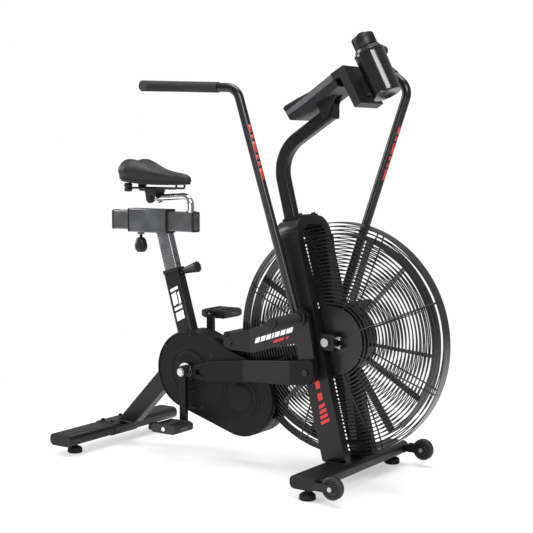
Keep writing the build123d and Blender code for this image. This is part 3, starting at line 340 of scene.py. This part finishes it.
def closed_tube(name, points, radius, material, body, resolution):
    """Round bead along a smooth closed line, built as a mesh."""
    curve = bpy.data.curves.new(name + "_c", "CURVE")
    curve.dimensions = "3D"
    curve.bevel_depth = radius
    curve.bevel_resolution = 3
    curve.use_fill_caps = True
    spline = curve.splines.new("NURBS")
    spline.points.add(len(points) - 1)
    for control, point in zip(spline.points, points):
        control.co = (*point, 1)
    spline.use_cyclic_u = True
    spline.order_u = 4
    spline.use_endpoint_u = False
    spline.resolution_u = resolution
    source = link_object(name + "_t", curve)
    depsgraph = bpy.context.evaluated_depsgraph_get()
    mesh = bpy.data.meshes.new_from_object(source.evaluated_get(depsgraph))
    mesh.name = name
    bpy.data.objects.remove(source)
    return finish(link_object(name, mesh), material, body)


def lathe(name, origin, axis, profile, material, body, segments=40, smooth=True):
    """Turned piece; profile is a list of (distance along the axis, radius)."""
    axis = Vector(axis).normalized()
    u = axis.orthogonal().normalized()
    v = axis.cross(u)
    angles = [2 * math.pi * k / segments for k in range(segments)]
    bm = bmesh.new()
    rings = []
    for along, radius in profile:
        centre = origin + axis * along
        if radius < 1e-6:
            rings.append([bm.verts.new(centre)])
        else:
            rings.append(new_ring(bm, [centre + (u * math.cos(a) + v * math.sin(a)) * radius
                                       for a in angles]))
    for first, second in zip(rings, rings[1:]):
        if len(first) > 1 and len(second) > 1:
            join_rings(bm, first, second)
            continue
        for k in range(segments):
            after = (k + 1) % segments
            if len(second) > 1:
                bm.faces.new((first[0], second[k], second[after]))
            elif len(first) > 1:
                bm.faces.new((first[k], second[0], first[after]))
    ob = finish(mesh_object(name, bm), material, body, smooth)
    if smooth:
        add_bevel(ob, 0.0006)
    return ob


def plates(name, outlines, normal, material, body, thickness=0.00015, lift=0.0002):
    """Thin flat shapes set off a surface along its normal."""
    normal = Vector(normal).normalized()
    bm = bmesh.new()
    for outline in outlines:
        add_prism(bm, [point + normal * lift for point in outline],
                  [point + normal * (lift + thickness) for point in outline])
    return finish(mesh_object(name, bm), material, body, smooth=False)


# ------------------------------------------------------------------ saddle
# x, half width
HALF_WIDTH = (
    (-991, 40), (-982, 66), (-968, 83), (-950, 88), (-925, 85), (-895, 73),
    (-865, 57), (-835, 43), (-800, 34), (-765, 27), (-740, 22), (-720, 17),
)
# x, z of the crown
CROWN = (
    (-991, 950), (-978, 968), (-962, 976), (-945, 978), (-915, 974), (-885, 967),
    (-855, 955), (-825, 946), (-795, 940), (-765, 936), (-740, 931), (-720, 924),
)
# x, rise of the lower edge
FLOOR_RISE = (
    (-991, 16), (-975, 12), (-950, 8), (-915, 4), (-880, 1),
    (-850, 0), (-800, 0), (-760, 1), (-735, 2.5), (-720, 4),
)
REAR_X, NOSE_X = -991.0, -721.0
REAR_ROUNDING, NOSE_ROUNDING = 26.0, 22.0
PAD_FLOOR_Z, BASE_FLOOR_Z = 906.0, 900.0
TUCK = 0.84      # share of the half width kept at the underside
SIDE_POWER = 0.72  # squareness of the cross section across
TOP_POWER = 0.62   # squareness of its upper half
SEAM = 0.62      # place of the sewn seams, as a share of the half width


def interpolate(table, x):
    for (x0, v0), (x1, v1) in zip(table, table[1:]):
        if x0 <= x <= x1:
            return v0 + (v1 - v0) * ((x - x0) / (x1 - x0))
    return table[0][1] if x < table[0][0] else table[-1][1]


def smoothed(table, x, step=7.0):
    """Table value averaged over five neighbouring stations."""
    return sum(interpolate(table, x + step * k) for k in (-2, -1, 0, 1, 2)) / 5.0


def clamp(value):
    return max(0.0, min(1.0, value))


def ease(share):
    """Spread stations so that they crowd toward both ends."""
    return 0.5 - 0.5 * math.cos(math.pi * share)


def fullness(x):
    """1 along the saddle, falling to 0 in a round at each end."""
    full = 1.0
    if x < REAR_X + REAR_ROUNDING:
        inset = (REAR_X + REAR_ROUNDING - x) / REAR_ROUNDING
        full *= math.sqrt(max(0.0, 1 - inset ** 2))
    if x > NOSE_X - NOSE_ROUNDING:
        inset = (x - (NOSE_X - NOSE_ROUNDING)) / NOSE_ROUNDING
        full *= math.sqrt(max(0.0, 1 - inset ** 2))
    return full


def crown_z(x, full, floor_z, shrink=0.0):
    return floor_z + (smoothed(CROWN, x) - floor_z - shrink) * (0.35 + 0.65 * full)


def rear_share(x):
    return clamp((-880 - x) / 50.0)


def lobe_rise(x, full, across):
    """Lift of the two raised lobes at the rear; across is a share of the half width."""
    return 7.0 * rear_share(x) * full * math.exp(-((across - 0.52) / 0.28) ** 2)


def saddle_point(x, angle, full, half_width, floor_z, top_z):
    """Point of the cross section at x, at an angle around it from the left edge."""
    cosine, sine = math.cos(angle), math.sin(angle)
    y = half_width * math.copysign(abs(cosine) ** SIDE_POWER, cosine)
    if sine < 0:
        return at(x, y * TUCK, floor_z - 5.4 * abs(sine) ** 0.6)
    height = abs(sine) ** TOP_POWER
    z = floor_z + (top_z - floor_z) * height
    across = y / max(half_width, 1e-6)
    y *= 1 - (1 - TUCK) * math.exp(-(height / 0.32) ** 2)
    # split, raised rear lobes
    z += lobe_rise(x, full, abs(across))
    z -= 5.0 * rear_share(x) * full * math.exp(-(across / 0.20) ** 2)
    # centre channel
    channel = clamp((x + 975) / 30.0) * clamp((-765 - x) / 40.0)
    z -= 7.5 * channel * math.exp(-(y / 7.5) ** 2)
    # sewn seams
    if height > 0.3:
        from_seam = (abs(across) - SEAM) * max(half_width, 20)
        z -= 2.2 * full * math.exp(-(from_seam / 1.8) ** 2)
    # fine wrinkles low on the sides
    z += 0.7 * math.sin(x * 0.35 + abs(y) * 0.12) * (1 - height)
    return at(x, y, z)


def saddle_mesh(name, shrink, base_z, steps, around):
    bm = bmesh.new()
    rings = []
    for i in range(steps + 1):
        x = REAR_X + (NOSE_X - REAR_X) * ease(i / steps)
        full = fullness(x)
        half_width = (smoothed(HALF_WIDTH, x) - shrink) * max(full, 0.02)
        floor_z = base_z + smoothed(FLOOR_RISE, x)
        top_z = crown_z(x, full, floor_z, shrink)
        rings.append(new_ring(bm, [
            saddle_point(x, 2 * math.pi * k / around, full, half_width, floor_z, top_z)
            for k in range(around)]))
    for first, second in zip(rings, rings[1:]):
        join_rings(bm, first, second)
    bm.faces.new(rings[0])
    bm.faces.new(rings[-1][::-1])
    return mesh_object(name, bm)


def saddle_pad():
    pad = finish(saddle_mesh("saddle_pad", 0.0, PAD_FLOOR_Z, 110, 96), "vinyl", "seat")
    subdivision = pad.modifiers.new("sub", "SUBSURF")
    subdivision.levels = 1
    subdivision.render_levels = 1
    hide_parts("saddle")


def saddle_base():
    """Moulded base: the saddle shape cut off flat just above the pad's lower edge."""
    base = saddle_mesh("saddle_base", 5.0, BASE_FLOOR_Z, 70, 56)
    for vertex in base.data.vertices:
        x = (vertex.co.x - WHEEL_AXLE_X) * 1000.0
        cut_z = (PAD_FLOOR_Z + 1 + smoothed(FLOOR_RISE, x)) / 1000.0
        vertex.co.z = min(vertex.co.z, cut_z)
    finish(base, "cap_plastic", "seat")


def saddle_piping():
    """Bead around the lower edge of the pad."""
    count, end_gap, offset = 60, 3, 0.4
    stations = [REAR_X + end_gap + (NOSE_X - REAR_X - 2 * end_gap) * ease(i / (count - 1))
                for i in range(count)]
    points = []
    for side, line in ((1, stations), (-1, stations[::-1])):
        for x in line:
            half_width = smoothed(HALF_WIDTH, x) * fullness(x)
            points.append(at(x, side * (TUCK * half_width + offset),
                             PAD_FLOOR_Z + 0.5 + smoothed(FLOOR_RISE, x)))
    closed_tube("saddle_piping", points, 0.0021, "cap_plastic", "seat", resolution=4)


def seam_point(x, side, across):
    full = fullness(x)
    floor_z = PAD_FLOOR_Z + smoothed(FLOOR_RISE, x)
    cosine = across ** (1 / SIDE_POWER)
    height = math.sqrt(max(0, 1 - cosine * cosine)) ** TOP_POWER
    z = floor_z + (crown_z(x, full, floor_z) - floor_z) * height + lobe_rise(x, full, across)
    return at(x, side * smoothed(HALF_WIDTH, x) * full * across, z - 0.4)


def saddle_stitches():
    """Rows of four-sided stitches on both sides of each seam."""
    end_gap, length, pitch, thread = 26, 3.0, 5.0, 0.00045
    bm = bmesh.new()
    for side in (1, -1):
        for across in (0.585, 0.655):
            x = REAR_X + end_gap
            while x < NOSE_X - end_gap:
                start = seam_point(x, side, across)
                end = seam_point(x + length, side, across)
                along = (end - start).normalized()
                a = along.orthogonal().normalized() * thread
                b = along.cross(a).normalized() * thread
                loft(bm, [new_ring(bm, (p + a, p + b, p - a, p - b)) for p in (start, end)])
                x += pitch
    finish(mesh_object("saddle_stitches", bm, outward=False), "thread_grey", "seat")


def saddle_bumpers():
    """Elastomer bumpers under the rear of the saddle."""
    profile = [(0, 0), (0, .010), (.003, .013), (.009, .014), (.012, .0115), (.015, .0115),
               (.018, .014), (.025, .014), (.029, .010), (.029, 0)]
    for i, side in enumerate((1, -1)):
        lathe("saddle_bumper_%d" % i, at(-955, side * 38, 872), (0, 0, 1), profile,
              "cap_plastic", "seat", segments=28)


saddle_pad()
saddle_base()
saddle_piping()
saddle_stitches()
saddle_bumpers()

# ------------------------------------------------------------------ case and crank
# name, centre x and z, radius, start and end angle in degrees, half width, height
RIDGES = (
    ("case_lip_a_", CRANK_X, CRANK_Z, 126, 75, 285, 2.6, 2.4),
    ("case_lip_b_", BOSS_X, BOSS_Z, 122, -105, 70, 2.6, 2.4),
    ("case_ring_", CRANK_X, CRANK_Z, 72, 0, 360, 3.0, 2.0),
    ("case_boss_a_", BOSS_X, BOSS_Z, 62, 0, 360, 2.2, 1.8),
    ("case_boss_b_", BOSS_X, BOSS_Z, 74, 0, 360, 1.6, 1.2),
)
# x, z
CASE_SCREWS = (
    (-790, 365), (-800, 215), (-745, 178), (-640, 172), (-560, 118),
    (-420, 125), (-385, 235), (-600, 345), (-690, 405),
)
HUBCAP_PROFILE = [(0, 0.046), (0.001, 0.046), (0.0022, 0.044), (0.0028, 0.030),
                  (0.0024, 0.012), (0.0024, 0)]
CASE_SCREW_PROFILE = [(0, 0.0055), (0.0012, 0.0055), (0.0022, 0.0045), (0.0022, 0.0028),
                      (0.0012, 0.0022), (0.0012, 0)]
DISC_TRIM_PROFILE = [(0, 0.062), (0.0009, 0.062), (0.0009, 0.058), (0.0003, 0.056),
                     (0.0003, 0.050), (0.0009, 0.048), (0.0009, 0.030), (0, 0.029)]
CRANK_BOLT_PROFILE = [(0, 0.0135), (0.002, 0.0135), (0.004, 0.011), (0.004, 0.006),
                      (0.0015, 0.005), (0.0015, 0)]


def arc_ridge(name, side, centre_x, centre_z, radius, start, end, half_width, height):
    """Raised moulded ridge that follows an arc on a side face of the case."""
    steps = 72
    closed = end - start == 360
    profile = [(-half_width, 0), (-half_width * 0.7, height * 0.8), (-half_width * 0.3, height),
               (half_width * 0.3, height), (half_width * 0.7, height * 0.8), (half_width, 0)]
    bm = bmesh.new()
    rings = []
    for i in range(steps if closed else steps + 1):
        a = math.radians(start + (end - start) * i / steps)
        rings.append(new_ring(bm, [
            at(centre_x + (radius + out) * math.cos(a), side * (CASE_FACE_Y + rise),
               centre_z + (radius + out) * math.sin(a)) for out, rise in profile]))
    loft(bm, rings, closed)
    finish(mesh_object(name, bm), "case_plastic", "frame")


def case_details(tag, side):
    for name, *shape in RIDGES:
        arc_ridge(name + tag, side, *shape)
    lathe("case_hubcap_" + tag, at(BOSS_X, side * (CASE_FACE_Y - 0.1), BOSS_Z), (0, side, 0),
          HUBCAP_PROFILE, "case_plastic", "frame", segments=56)
    for k, (x, z) in enumerate(CASE_SCREWS):
        lathe("case_screw_%s_%d" % (tag, k), at(x, side * CASE_FACE_Y, z), (0, side, 0),
              CASE_SCREW_PROFILE, "bolt_black", "frame", segments=20)


def crank_details(tag, side):
    lathe("disc_trim_" + tag, at(CRANK_X, side * 48.75, CRANK_Z), (0, side, 0),
          DISC_TRIM_PROFILE, "rod_coat", "crank", segments=72)
    lathe("crank_bolt_" + tag, at(CRANK_X, side * 91.8, CRANK_Z), (0, side, 0),
          CRANK_BOLT_PROFILE, "chrome", "crank", segments=6, smooth=False)


for tag, side in SIDES:
    case_details(tag, side)
for tag, side in SIDES:
    crank_details(tag, side)

# ------------------------------------------------------------------ pedals
TREAD_ROWS_X = (-47, -36, -12, 12, 36, 47)  # from the pedal axle
TREAD_COUNT, TREAD_START_Y, TREAD_PITCH = 15, 93, 6.1
TREAD_SIZE = (5.0, 3.0, 2.6)
INNER_TREAD_HEIGHT, OUTER_TREAD_HEIGHT = 13.9, 9.6


def pedal_tread(tag, side, pedal_z):
    """Small blocks on the upper and lower faces."""
    length, width, height = TREAD_SIZE
    bm = bmesh.new()
    for row_x in TREAD_ROWS_X:
        rise = INNER_TREAD_HEIGHT if abs(row_x) < 40 else OUTER_TREAD_HEIGHT
        for k in range(TREAD_COUNT):
            y = side * (TREAD_START_Y + k * TREAD_PITCH)
            for face in (1, -1):
                z = pedal_z + face * rise
                for vertex in bmesh.ops.create_cube(bm, size=1.0)["verts"]:
                    corner = vertex.co
                    vertex.co = at(CRANK_X + row_x + corner.x * length,
                                   y + corner.y * width, z + corner.z * height)
    ob = mesh_object("pedal_tread_" + tag, bm, outward=False)
    finish(ob, "pedal_plastic", "pedal_" + tag, smooth=False)
    bevel = ob.modifiers.new("b", "BEVEL")
    bevel.width = 0.0005
    bevel.segments = 1


def pedal_reflectors(tag, side, pedal_z):
    """Flat strips on the rear and front edges."""
    inner_y, outer_y, half_height = 118, 157, 5
    for j, direction in enumerate((-1, 1)):
        x = CRANK_X + direction * 50
        outline = [at(x, side * y, pedal_z + z)
                   for y, z in ((inner_y, -half_height), (outer_y, -half_height),
                                (outer_y, half_height), (inner_y, half_height))]
        plates("pedal_reflector_%s_%d" % (tag, j), [outline], (direction, 0, 0),
               "thread_grey", "pedal_" + tag, thickness=0.0012, lift=0.0)


for tag, side in SIDES:
    # the right crank points down and the left one up
    pedal_tread(tag, side, CRANK_Z + side * CRANK_LENGTH)
    pedal_reflectors(tag, side, CRANK_Z + side * CRANK_LENGTH)


# ------------------------------------------------------------------ foot pegs
def foot_peg(tag, side):
    """Ribbed sleeve with an end cap."""
    rib_count, rib_start, rib_pitch = 19, 0.004, 0.0062
    bore, root, groove, crest, length = 0.0150, 0.0156, 0.0157, 0.0166, 0.122
    profile = [(0.0, root)]
    for k in range(rib_count):
        y = rib_start + k * rib_pitch
        profile += [(y, groove), (y + 0.0008, crest), (y + 0.0030, crest), (y + 0.0038, groove)]
    profile += [(length, root), (length, bore), (0.0, bore), (0.0, root)]
    lathe("peg_sleeve_" + tag, at(PIVOT_X, side * 148, PIVOT_Z), (0, side, 0), profile,
          "grip_rubber", "frame", segments=44)
    lathe("peg_cap_" + tag, at(PIVOT_X, side * 279.5, PIVOT_Z), (0, side, 0),
          [(0, 0.0165), (0.003, 0.0165), (0.005, 0.014), (0.0055, 0)], "cap_plastic", "frame")


for tag, side in SIDES:
    foot_peg(tag, side)


# ------------------------------------------------------------------ bolts and washers
def hex_head(name, position, axis, radius, height, material, body):
    """Six-sided head with a socket, on a round washer."""
    washer = 0.0012
    lathe(name + "_w", position, axis, [(0, radius * 1.35), (washer, radius * 1.35), (washer, 0)],
          material, body, segments=28)
    lathe(name, position + Vector(axis).normalized() * washer, axis,
          [(0, radius), (height * 0.8, radius), (height, radius * 0.86), (height, radius * 0.45),
           (height * 0.5, radius * 0.42), (height * 0.5, 0)],
          material, body, segments=6, smooth=False)


def side_fasteners(tag, side):
    for k, (x, z) in enumerate(((-538, 418), (-520, 394))):
        hex_head("cross_bolt_%s_%d" % (tag, k), at(x, side * 52, z), (0, side, 0),
                 radius=0.005, height=0.004, material="bolt_black", body="frame")
    for k, z in enumerate((424, 450)):
        lathe("tension_screw_%s_%d" % (tag, k), at(-112, side * 82.5, z), (1, 0, 0),
              [(0, 0.004), (0.012, 0.004), (0.012, 0.0065), (0.017, 0.0065),
               (0.018, 0.005), (0.018, 0)], "zinc", "frame", segments=20)
    lathe("arm_washer_" + tag, at(PIVOT_X, side * 136, PIVOT_Z), (0, side, 0),
          [(0, 0.0105), (0, 0.022), (0.0016, 0.022), (0.0024, 0.020), (0.0024, 0.0105)],
          "bolt_black", "arm_" + tag)


for tag, side in SIDES:
    side_fasteners(tag, side)

# ------------------------------------------------------------------ printed graphics
SEAT_UP, SEAT_FORWARD = tilted_axes(16.4)
SEAT_FOOT = at(-698, 0, CRANK_Z)
# low edge at the back, height, back, front (along and across the seat tube)
SEAT_PRINT = (
    (0.165, 0.028, -0.017, 0.017), (0.200, 0.010, -0.017, 0.017), (0.217, 0.040, -0.017, 0.004),
    (0.217, 0.040, 0.009, 0.017), (0.264, 0.010, -0.017, 0.017),
)
LEG_UP, LEG_FORWARD = tilted_axes(14.3)
# low edge at the back, height, slant, half width
LEG_PRINT = [(low, 0.022, 0.004, 0.008) for low in (0.262, 0.226, 0.190)]
LEG_PRINT += [(0.118 + k * 0.016, 0.010, 0.008, 0.016 - 0.0015 * k) for k in range(4)]
BEAM_BLOCKS, BEAM_GAP = (20, 20, 20, 8, 20, 20, 26), 4.5  # block widths along x


def slanted_band(origin, up, forward, low, height, slant, back, front):
    """Outline of a band across a tube, higher at the front by the slant."""
    corners = ((low, back), (low + slant, front), (low + slant + height, front),
               (low + height, back))
    return [origin + up * along + forward * across for along, across in corners]


def seat_tube_print(tag, side):
    face = SEAT_FOOT + Vector((0, side * 0.021, 0))
    bands = [slanted_band(face, SEAT_UP, SEAT_FORWARD, low, height, 0.006, back, front)
             for low, height, back, front in SEAT_PRINT]
    plates("seat_tube_print_" + tag, bands, (0, side, 0), "white_print", "frame")


def beam_print(tag, side):
    """Row of leaning white blocks with two red blocks below it."""
    rear_x, front_x = -446.0, -250.0
    rear, front = at(rear_x, side * 52.05, 0), at(front_x, side * 91.6, 0)
    along = front - rear
    normal = (-along.y * side, along.x * side, 0)

    def on_face(x, z):
        point = rear + along * ((x - rear_x) / (front_x - rear_x))
        return Vector((point.x, point.y, z / 1000.0))

    def row_z(x):
        return 410 + (x + 430) * 0.33

    def block(x, width, low, high, lean):
        end = x + width
        return [on_face(x, row_z(x) + low), on_face(end, row_z(end) + low),
                on_face(end + lean, row_z(end) + high), on_face(x + lean, row_z(x) + high)]

    blocks = []
    x = -424.0
    for width in BEAM_BLOCKS:
        blocks.append(block(x, width, low=-8, high=9, lean=5))
        x += width + BEAM_GAP
    plates("beam_print_" + tag, blocks, normal, "white_print", "frame")
    red = [block(x, width, low=-24, high=-15, lean=4) for x, width in ((-344, 44), (-290, 10))]
    plates("beam_print_red_" + tag, red, normal, "red_print", "frame")


def leg_print(tag, side):
    """Ladder of red bars, wider toward the foot."""
    foot = at(-106, side * 98.0, 74)
    bands = [slanted_band(foot, LEG_UP, LEG_FORWARD, low, height, slant, -half, half)
             for low, height, slant, half in LEG_PRINT]
    plates("leg_print_" + tag, bands, (0, side, 0), "red_print", "frame")


for tag, side in SIDES:
    seat_tube_print(tag, side)
    beam_print(tag, side)
    leg_print(tag, side)

# start along the straight part of the handle tube, length (shares of that part)
ARM_STRIPES = ((0.585, 0.050), (0.645, 0.020), (0.675, 0.020), (0.705, 0.050),
               (0.765, 0.020), (0.795, 0.035))
ARM_SWING = math.radians(34)  # how far the left arm is turned forward of the right


def arm_point(share, side):
    """Point on the straight part of a handle tube, from the hub to the bend."""
    hub, bend = at(-227.8, -125.5, 525), at(-421, -156, 1199)
    point = hub + (bend - hub) * share
    if side > 0:
        point.y = -point.y
        pivot = at(PIVOT_X, 0, PIVOT_Z)
        point = pivot + Matrix.Rotation(ARM_SWING, 4, "Y") @ (point - pivot)
    return point


def arm_stripe(name, start, end, body):
    """Printed stripe wrapped part of the way round a handle tube."""
    radius, thickness, half_angle, steps = 0.01405, 0.00015, 19, 14
    facing = Vector((1.0, -0.28, 0))
    along = (end - start).normalized()
    u = (facing - along * facing.dot(along)).normalized()
    v = along.cross(u)
    bm = bmesh.new()
    rings = []
    for i in range(steps + 1):
        a = math.radians(-half_angle + 2 * half_angle * i / steps)
        out = u * math.cos(a) + v * math.sin(a)
        inner, outer = out * radius, out * (radius + thickness)
        rings.append(new_ring(bm, (start + inner, end + inner, end + outer, start + outer)))
    loft(bm, rings)
    finish(mesh_object(name, bm), "red_print", body)


for tag, side in SIDES:
    for k, (share, length) in enumerate(ARM_STRIPES):
        arm_stripe("arm_stripe_%s_%d" % (tag, k), arm_point(share, side),
                   arm_point(share + length, side), "arm_" + tag)


# ------------------------------------------------------------------ slider and seat post
def slider_ticks(tag, side):
    count, first_x, pitch, width, half_height = 5, -1028, 11.0, 1.0, 6
    ticks = []
    for k in range(count):
        x = first_x + k * pitch
        ticks.append([at(x + along, side * 18.0, SLIDER_Z + rise) for along, rise in
                      ((0, -half_height), (width, -half_height),
                       (width, half_height), (0, half_height))])
    plates("slider_ticks_" + tag, ticks, (0, side, 0), "thread_grey", "slider",
           thickness=0.00008, lift=0.00003)


def post_ticks(tag, side):
    """Scale with a long tick at every fifth place."""
    count, start, pitch, height = 10, 0.362, 0.010, 0.0009
    face = SEAT_FOOT + Vector((0, side * 0.016, 0))
    ticks = []
    for k in range(count):
        half = 0.012 if k % 5 == 0 else 0.007
        ticks.append(slanted_band(face, SEAT_UP, SEAT_FORWARD, start + k * pitch, height, 0,
                                  -half, half))
    plates("post_ticks_" + tag, ticks, (0, side, 0), "cap_plastic", "post", thickness=0.00012)


def rounded_slab(name, rear_x, front_x, half_width, half_height, radius, material):
    """Upright slab across the slider, with rounded corners."""
    y, z = half_width - radius, half_height - radius
    outline = []
    for corner_y, corner_z, start in ((y, z, 0), (-y, z, 90), (-y, -z, 180), (y, -z, 270)):
        for k in range(7):
            a = math.radians(start + 15 * k)
            outline.append((corner_y + radius * math.cos(a), corner_z + radius * math.sin(a)))
    bm = bmesh.new()
    add_prism(bm, *([at(x, y, SLIDER_Z + z) for y, z in outline] for x in (rear_x, front_x)))
    add_bevel(finish(mesh_object(name, bm), material, "slider"), 0.0012, segments=3)


for tag, side in SIDES:
    slider_ticks(tag, side)
    post_ticks(tag, side)
END_CAP = dict(half_width=18.7, half_height=33.4, radius=6.0, material="cap_plastic")
rounded_slab("slider_end_front", -704.0, -696.0, **END_CAP)
rounded_slab("slider_end_rear", -1046.5, -1039.0, **END_CAP)
rounded_slab("slider_plate_front", -696.2, -695.3, half_width=13.5, half_height=27.0,
             radius=3.0, material="sleeve_grey")

# ------------------------------------------------------------------ console
CONSOLE_NORMAL, CONSOLE_SLOPE = tilted_axes(33.3)
CONSOLE_ORIGIN = at(-308, 0, 1128)


def on_console(along, y, out=0.0):
    """Point in millimetres up the console face, across it and out of it."""
    return (CONSOLE_ORIGIN + CONSOLE_SLOPE * along / 1000.0 + Vector((0, y / 1000.0, 0))
            + CONSOLE_NORMAL * out / 1000.0)


def console_rectangle(along, y, length, width):
    return [on_console(along, y), on_console(along + length, y),
            on_console(along + length, y + width), on_console(along, y + width)]


def console_display():
    low, high, half = 28, 92, 38
    screen = [on_console(along, y)
              for along, y in ((low, -half), (high, -half), (high, half), (low, half))]
    plates("console_lcd", [screen], CONSOLE_NORMAL, "lcd_grey", "console", lift=-0.0004)
    segments = [console_rectangle(36 + row * 18, 31 - column * 12.0, 9, -7)
                for row in range(3) for column in range(6)]
    plates("console_segments", segments, CONSOLE_NORMAL, "screen_glass", "console",
           thickness=0.0001, lift=-0.00022)


def console_side_band(tag, side):
    # up the face, out of it
    outline = ((4, -15), (60, -19), (194, -19), (194, -2), (2, -2))
    plates("console_side_band_" + tag,
           [[on_console(along, side * 61, out) for along, out in outline]],
           (0, side, 0), "sleeve_grey", "console", thickness=0.0008, lift=0.0)


console_display()
for tag, side in SIDES:
    console_side_band(tag, side)

# ------------------------------------------------------------------ bottle and holder
BOTTLE_FOOT = at(13, 0, 1174)
BOTTLE_AXIS = (at(-52, 0, 1299) - BOTTLE_FOOT).normalized()
BOX_FACES = ((0, 1, 2, 3), (4, 7, 6, 5), (0, 4, 5, 1), (1, 5, 6, 2), (2, 6, 7, 3), (3, 7, 4, 0))
SPOUT_PROFILE = [(0, 0.0115), (0.0015, 0.0115), (0.003, 0.009), (0.006, 0.008),
                 (0.0085, 0.0085), (0.010, 0.006), (0.010, 0)]
RIM_PROFILE = [(0, 0.0460), (0.0005, 0.0470), (0.0022, 0.0470), (0.0028, 0.0455),
               (0.0022, 0.0440), (0.0, 0.0436), (0, 0.0460)]


def cap_ribs():
    count, low, high = 36, 0.1595, 0.1905
    inner, outer, half_width = 0.0338, 0.0350, 0.0011
    section = ((inner, half_width), (inner, -half_width), (outer, -half_width),
               (outer, half_width))
    u = BOTTLE_AXIS.orthogonal().normalized()
    v = BOTTLE_AXIS.cross(u)
    bm = bmesh.new()
    for k in range(count):
        a = 2 * math.pi * k / count
        radial = u * math.cos(a) + v * math.sin(a)
        tangent = BOTTLE_AXIS.cross(radial)
        box = new_ring(bm, [BOTTLE_FOOT + BOTTLE_AXIS * along + radial * out + tangent * across
                            for along in (low, high) for out, across in section])
        for face in BOX_FACES:
            bm.faces.new([box[i] for i in face])
    finish(mesh_object("cap_ribs", bm), "bottle_cap_pp", "cap", smooth=False)


cap_ribs()
lathe("bottle_spout", BOTTLE_FOOT + BOTTLE_AXIS * 0.2035, BOTTLE_AXIS, SPOUT_PROFILE,
      "spout_pp", "cap", segments=32)
lathe("holder_rim", BOTTLE_FOOT + BOTTLE_AXIS * 0.1385, BOTTLE_AXIS, RIM_PROFILE,
      "holder_gloss", "console", segments=64)


# ------------------------------------------------------------------ weld beads
def weld_bead(name, centre, half_length, half_width):
    """Slightly uneven, level bead around the foot of a tube."""
    count = 48
    points = []
    for k in range(count):
        a = 2 * math.pi * k / count
        cosine, sine = math.cos(a), math.sin(a)
        uneven = 1 + 0.03 * math.sin(k * 2.6)
        x = math.copysign(abs(cosine) ** 0.35, cosine) * half_length * uneven
        y = math.copysign(abs(sine) ** 0.35, sine) * half_width * uneven
        points.append(centre + Vector((x, y, 0)))
    closed_tube(name, points, 0.0022, "frame_coat", "frame", resolution=3)


for tag, side in SIDES:
    weld_bead("weld_leg_" + tag, at(-106, side * 82, 74.8), half_length=0.041, half_width=0.0162)
weld_bead("weld_strut", at(-991, 0, 77.8), half_length=0.040, half_width=0.022)


# ------------------------------------------------------------------ stage
def floor_material():
    """Matt floor that runs out to plain white for the camera, so no horizon shows."""
    made, tree, shader = new_material("floor_mat")
    set_inputs(tree, shader, {"Base Color": (0.90, 0.90, 0.90, 1), "Roughness": 0.8,
                              "Specular IOR Level": 0.2})
    coords = add_node(tree, "TexCoord", {}).outputs["Object"]
    centred = add_node(tree, "Mapping", {"Vector": coords, "Location": (0.15, 0.0, 0.0)})
    distance = add_node(tree, "VectorMath", {0: centred.outputs["Vector"]}, operation="LENGTH")
    # the white is partial near the bike and full beyond 1.7 m
    far = add_node(tree, "MapRange", {"Value": distance.outputs["Value"], "From Min": 0.75,
                                      "From Max": 1.7, "To Min": 0.45})
    rays = add_node(tree, "LightPath", {})
    share = add_node(tree, "Math", {0: far.outputs["Result"], 1: rays.outputs["Is Camera Ray"]},
                     operation="MULTIPLY")
    white = add_node(tree, "Emission", {"Color": (1, 1, 1, 1), "Strength": 1.0})
    mix = add_node(tree, "MixShader", {"Fac": share.outputs["Value"], 1: shader.outputs["BSDF"],
                                       2: white.outputs["Emission"]})
    set_inputs(tree, tree.nodes["Material Output"], {"Surface": mix.outputs["Shader"]})
    return made


def build_floor():
    bm = bmesh.new()
    bmesh.ops.create_grid(bm, x_segments=1, y_segments=1, size=30.0)
    for vertex in bm.verts:
        vertex.co.z = -0.0003
    ob = mesh_object("floor", bm, outward=False)
    ob.data.materials.append(floor_material())


def build_world():
    """White backdrop for the camera, dimmer as a light."""
    world = bpy.data.worlds.new("studio")
    bpy.context.scene.world = world
    world.use_nodes = True
    tree = world.node_tree
    rays = add_node(tree, "LightPath", {})
    strength = add_node(tree, "MapRange", {"Value": rays.outputs["Is Camera Ray"],
                                           "To Min": 0.36, "To Max": 1.0})
    set_inputs(tree, tree.nodes["Background"],
               {"Color": (1, 1, 1, 1), "Strength": strength.outputs["Result"]})


def area_light(name, location, aim_z, width, height, power):
    """Rectangular light aimed at a height on the z axis."""
    light = bpy.data.lights.new(name, "AREA")
    light.shape = "RECTANGLE"
    light.size = width
    light.size_y = height
    light.energy = power
    ob = bpy.data.objects.new(name, light)
    ob.location = location
    aim = Vector((0, 0, aim_z)) - Vector(location)
    ob.rotation_euler = aim.to_track_quat("-Z", "Y").to_euler()
    bpy.context.scene.collection.objects.link(ob)


def build_camera():
    heading, pitch = math.radians(34.1975), math.radians(5.3698)  # left of +Y, downward
    camera = bpy.data.cameras.new("cam")
    camera.sensor_width = 36.0
    camera.lens = 84.46964353
    camera.clip_end = 100
    ob = link_object("cam", camera)
    look = Vector((-math.sin(heading) * math.cos(pitch), math.cos(heading) * math.cos(pitch),
                   -math.sin(pitch)))
    ob.location = at(1800, -3264.1, 1014.5)
    ob.rotation_euler = look.to_track_quat("-Z", "Y").to_euler()
    bpy.context.scene.camera = ob


build_floor()
build_world()
area_light("key", (3.2, -2.6, 3.4), aim_z=0.6, width=2.4, height=1.6, power=150)
area_light("rim_left", (-3.2, -1.0, 2.2), aim_z=0.6, width=1.4, height=2.6, power=105)
area_light("top", (0, 0.3, 4.0), aim_z=0.5, width=2.6, height=2.6, power=150)
area_light("front_low", (0.6, -4.2, 0.8), aim_z=0.5, width=3.0, height=1.0, power=30)
build_camera()
bpy.context.scene.view_settings.view_transform = "Standard"
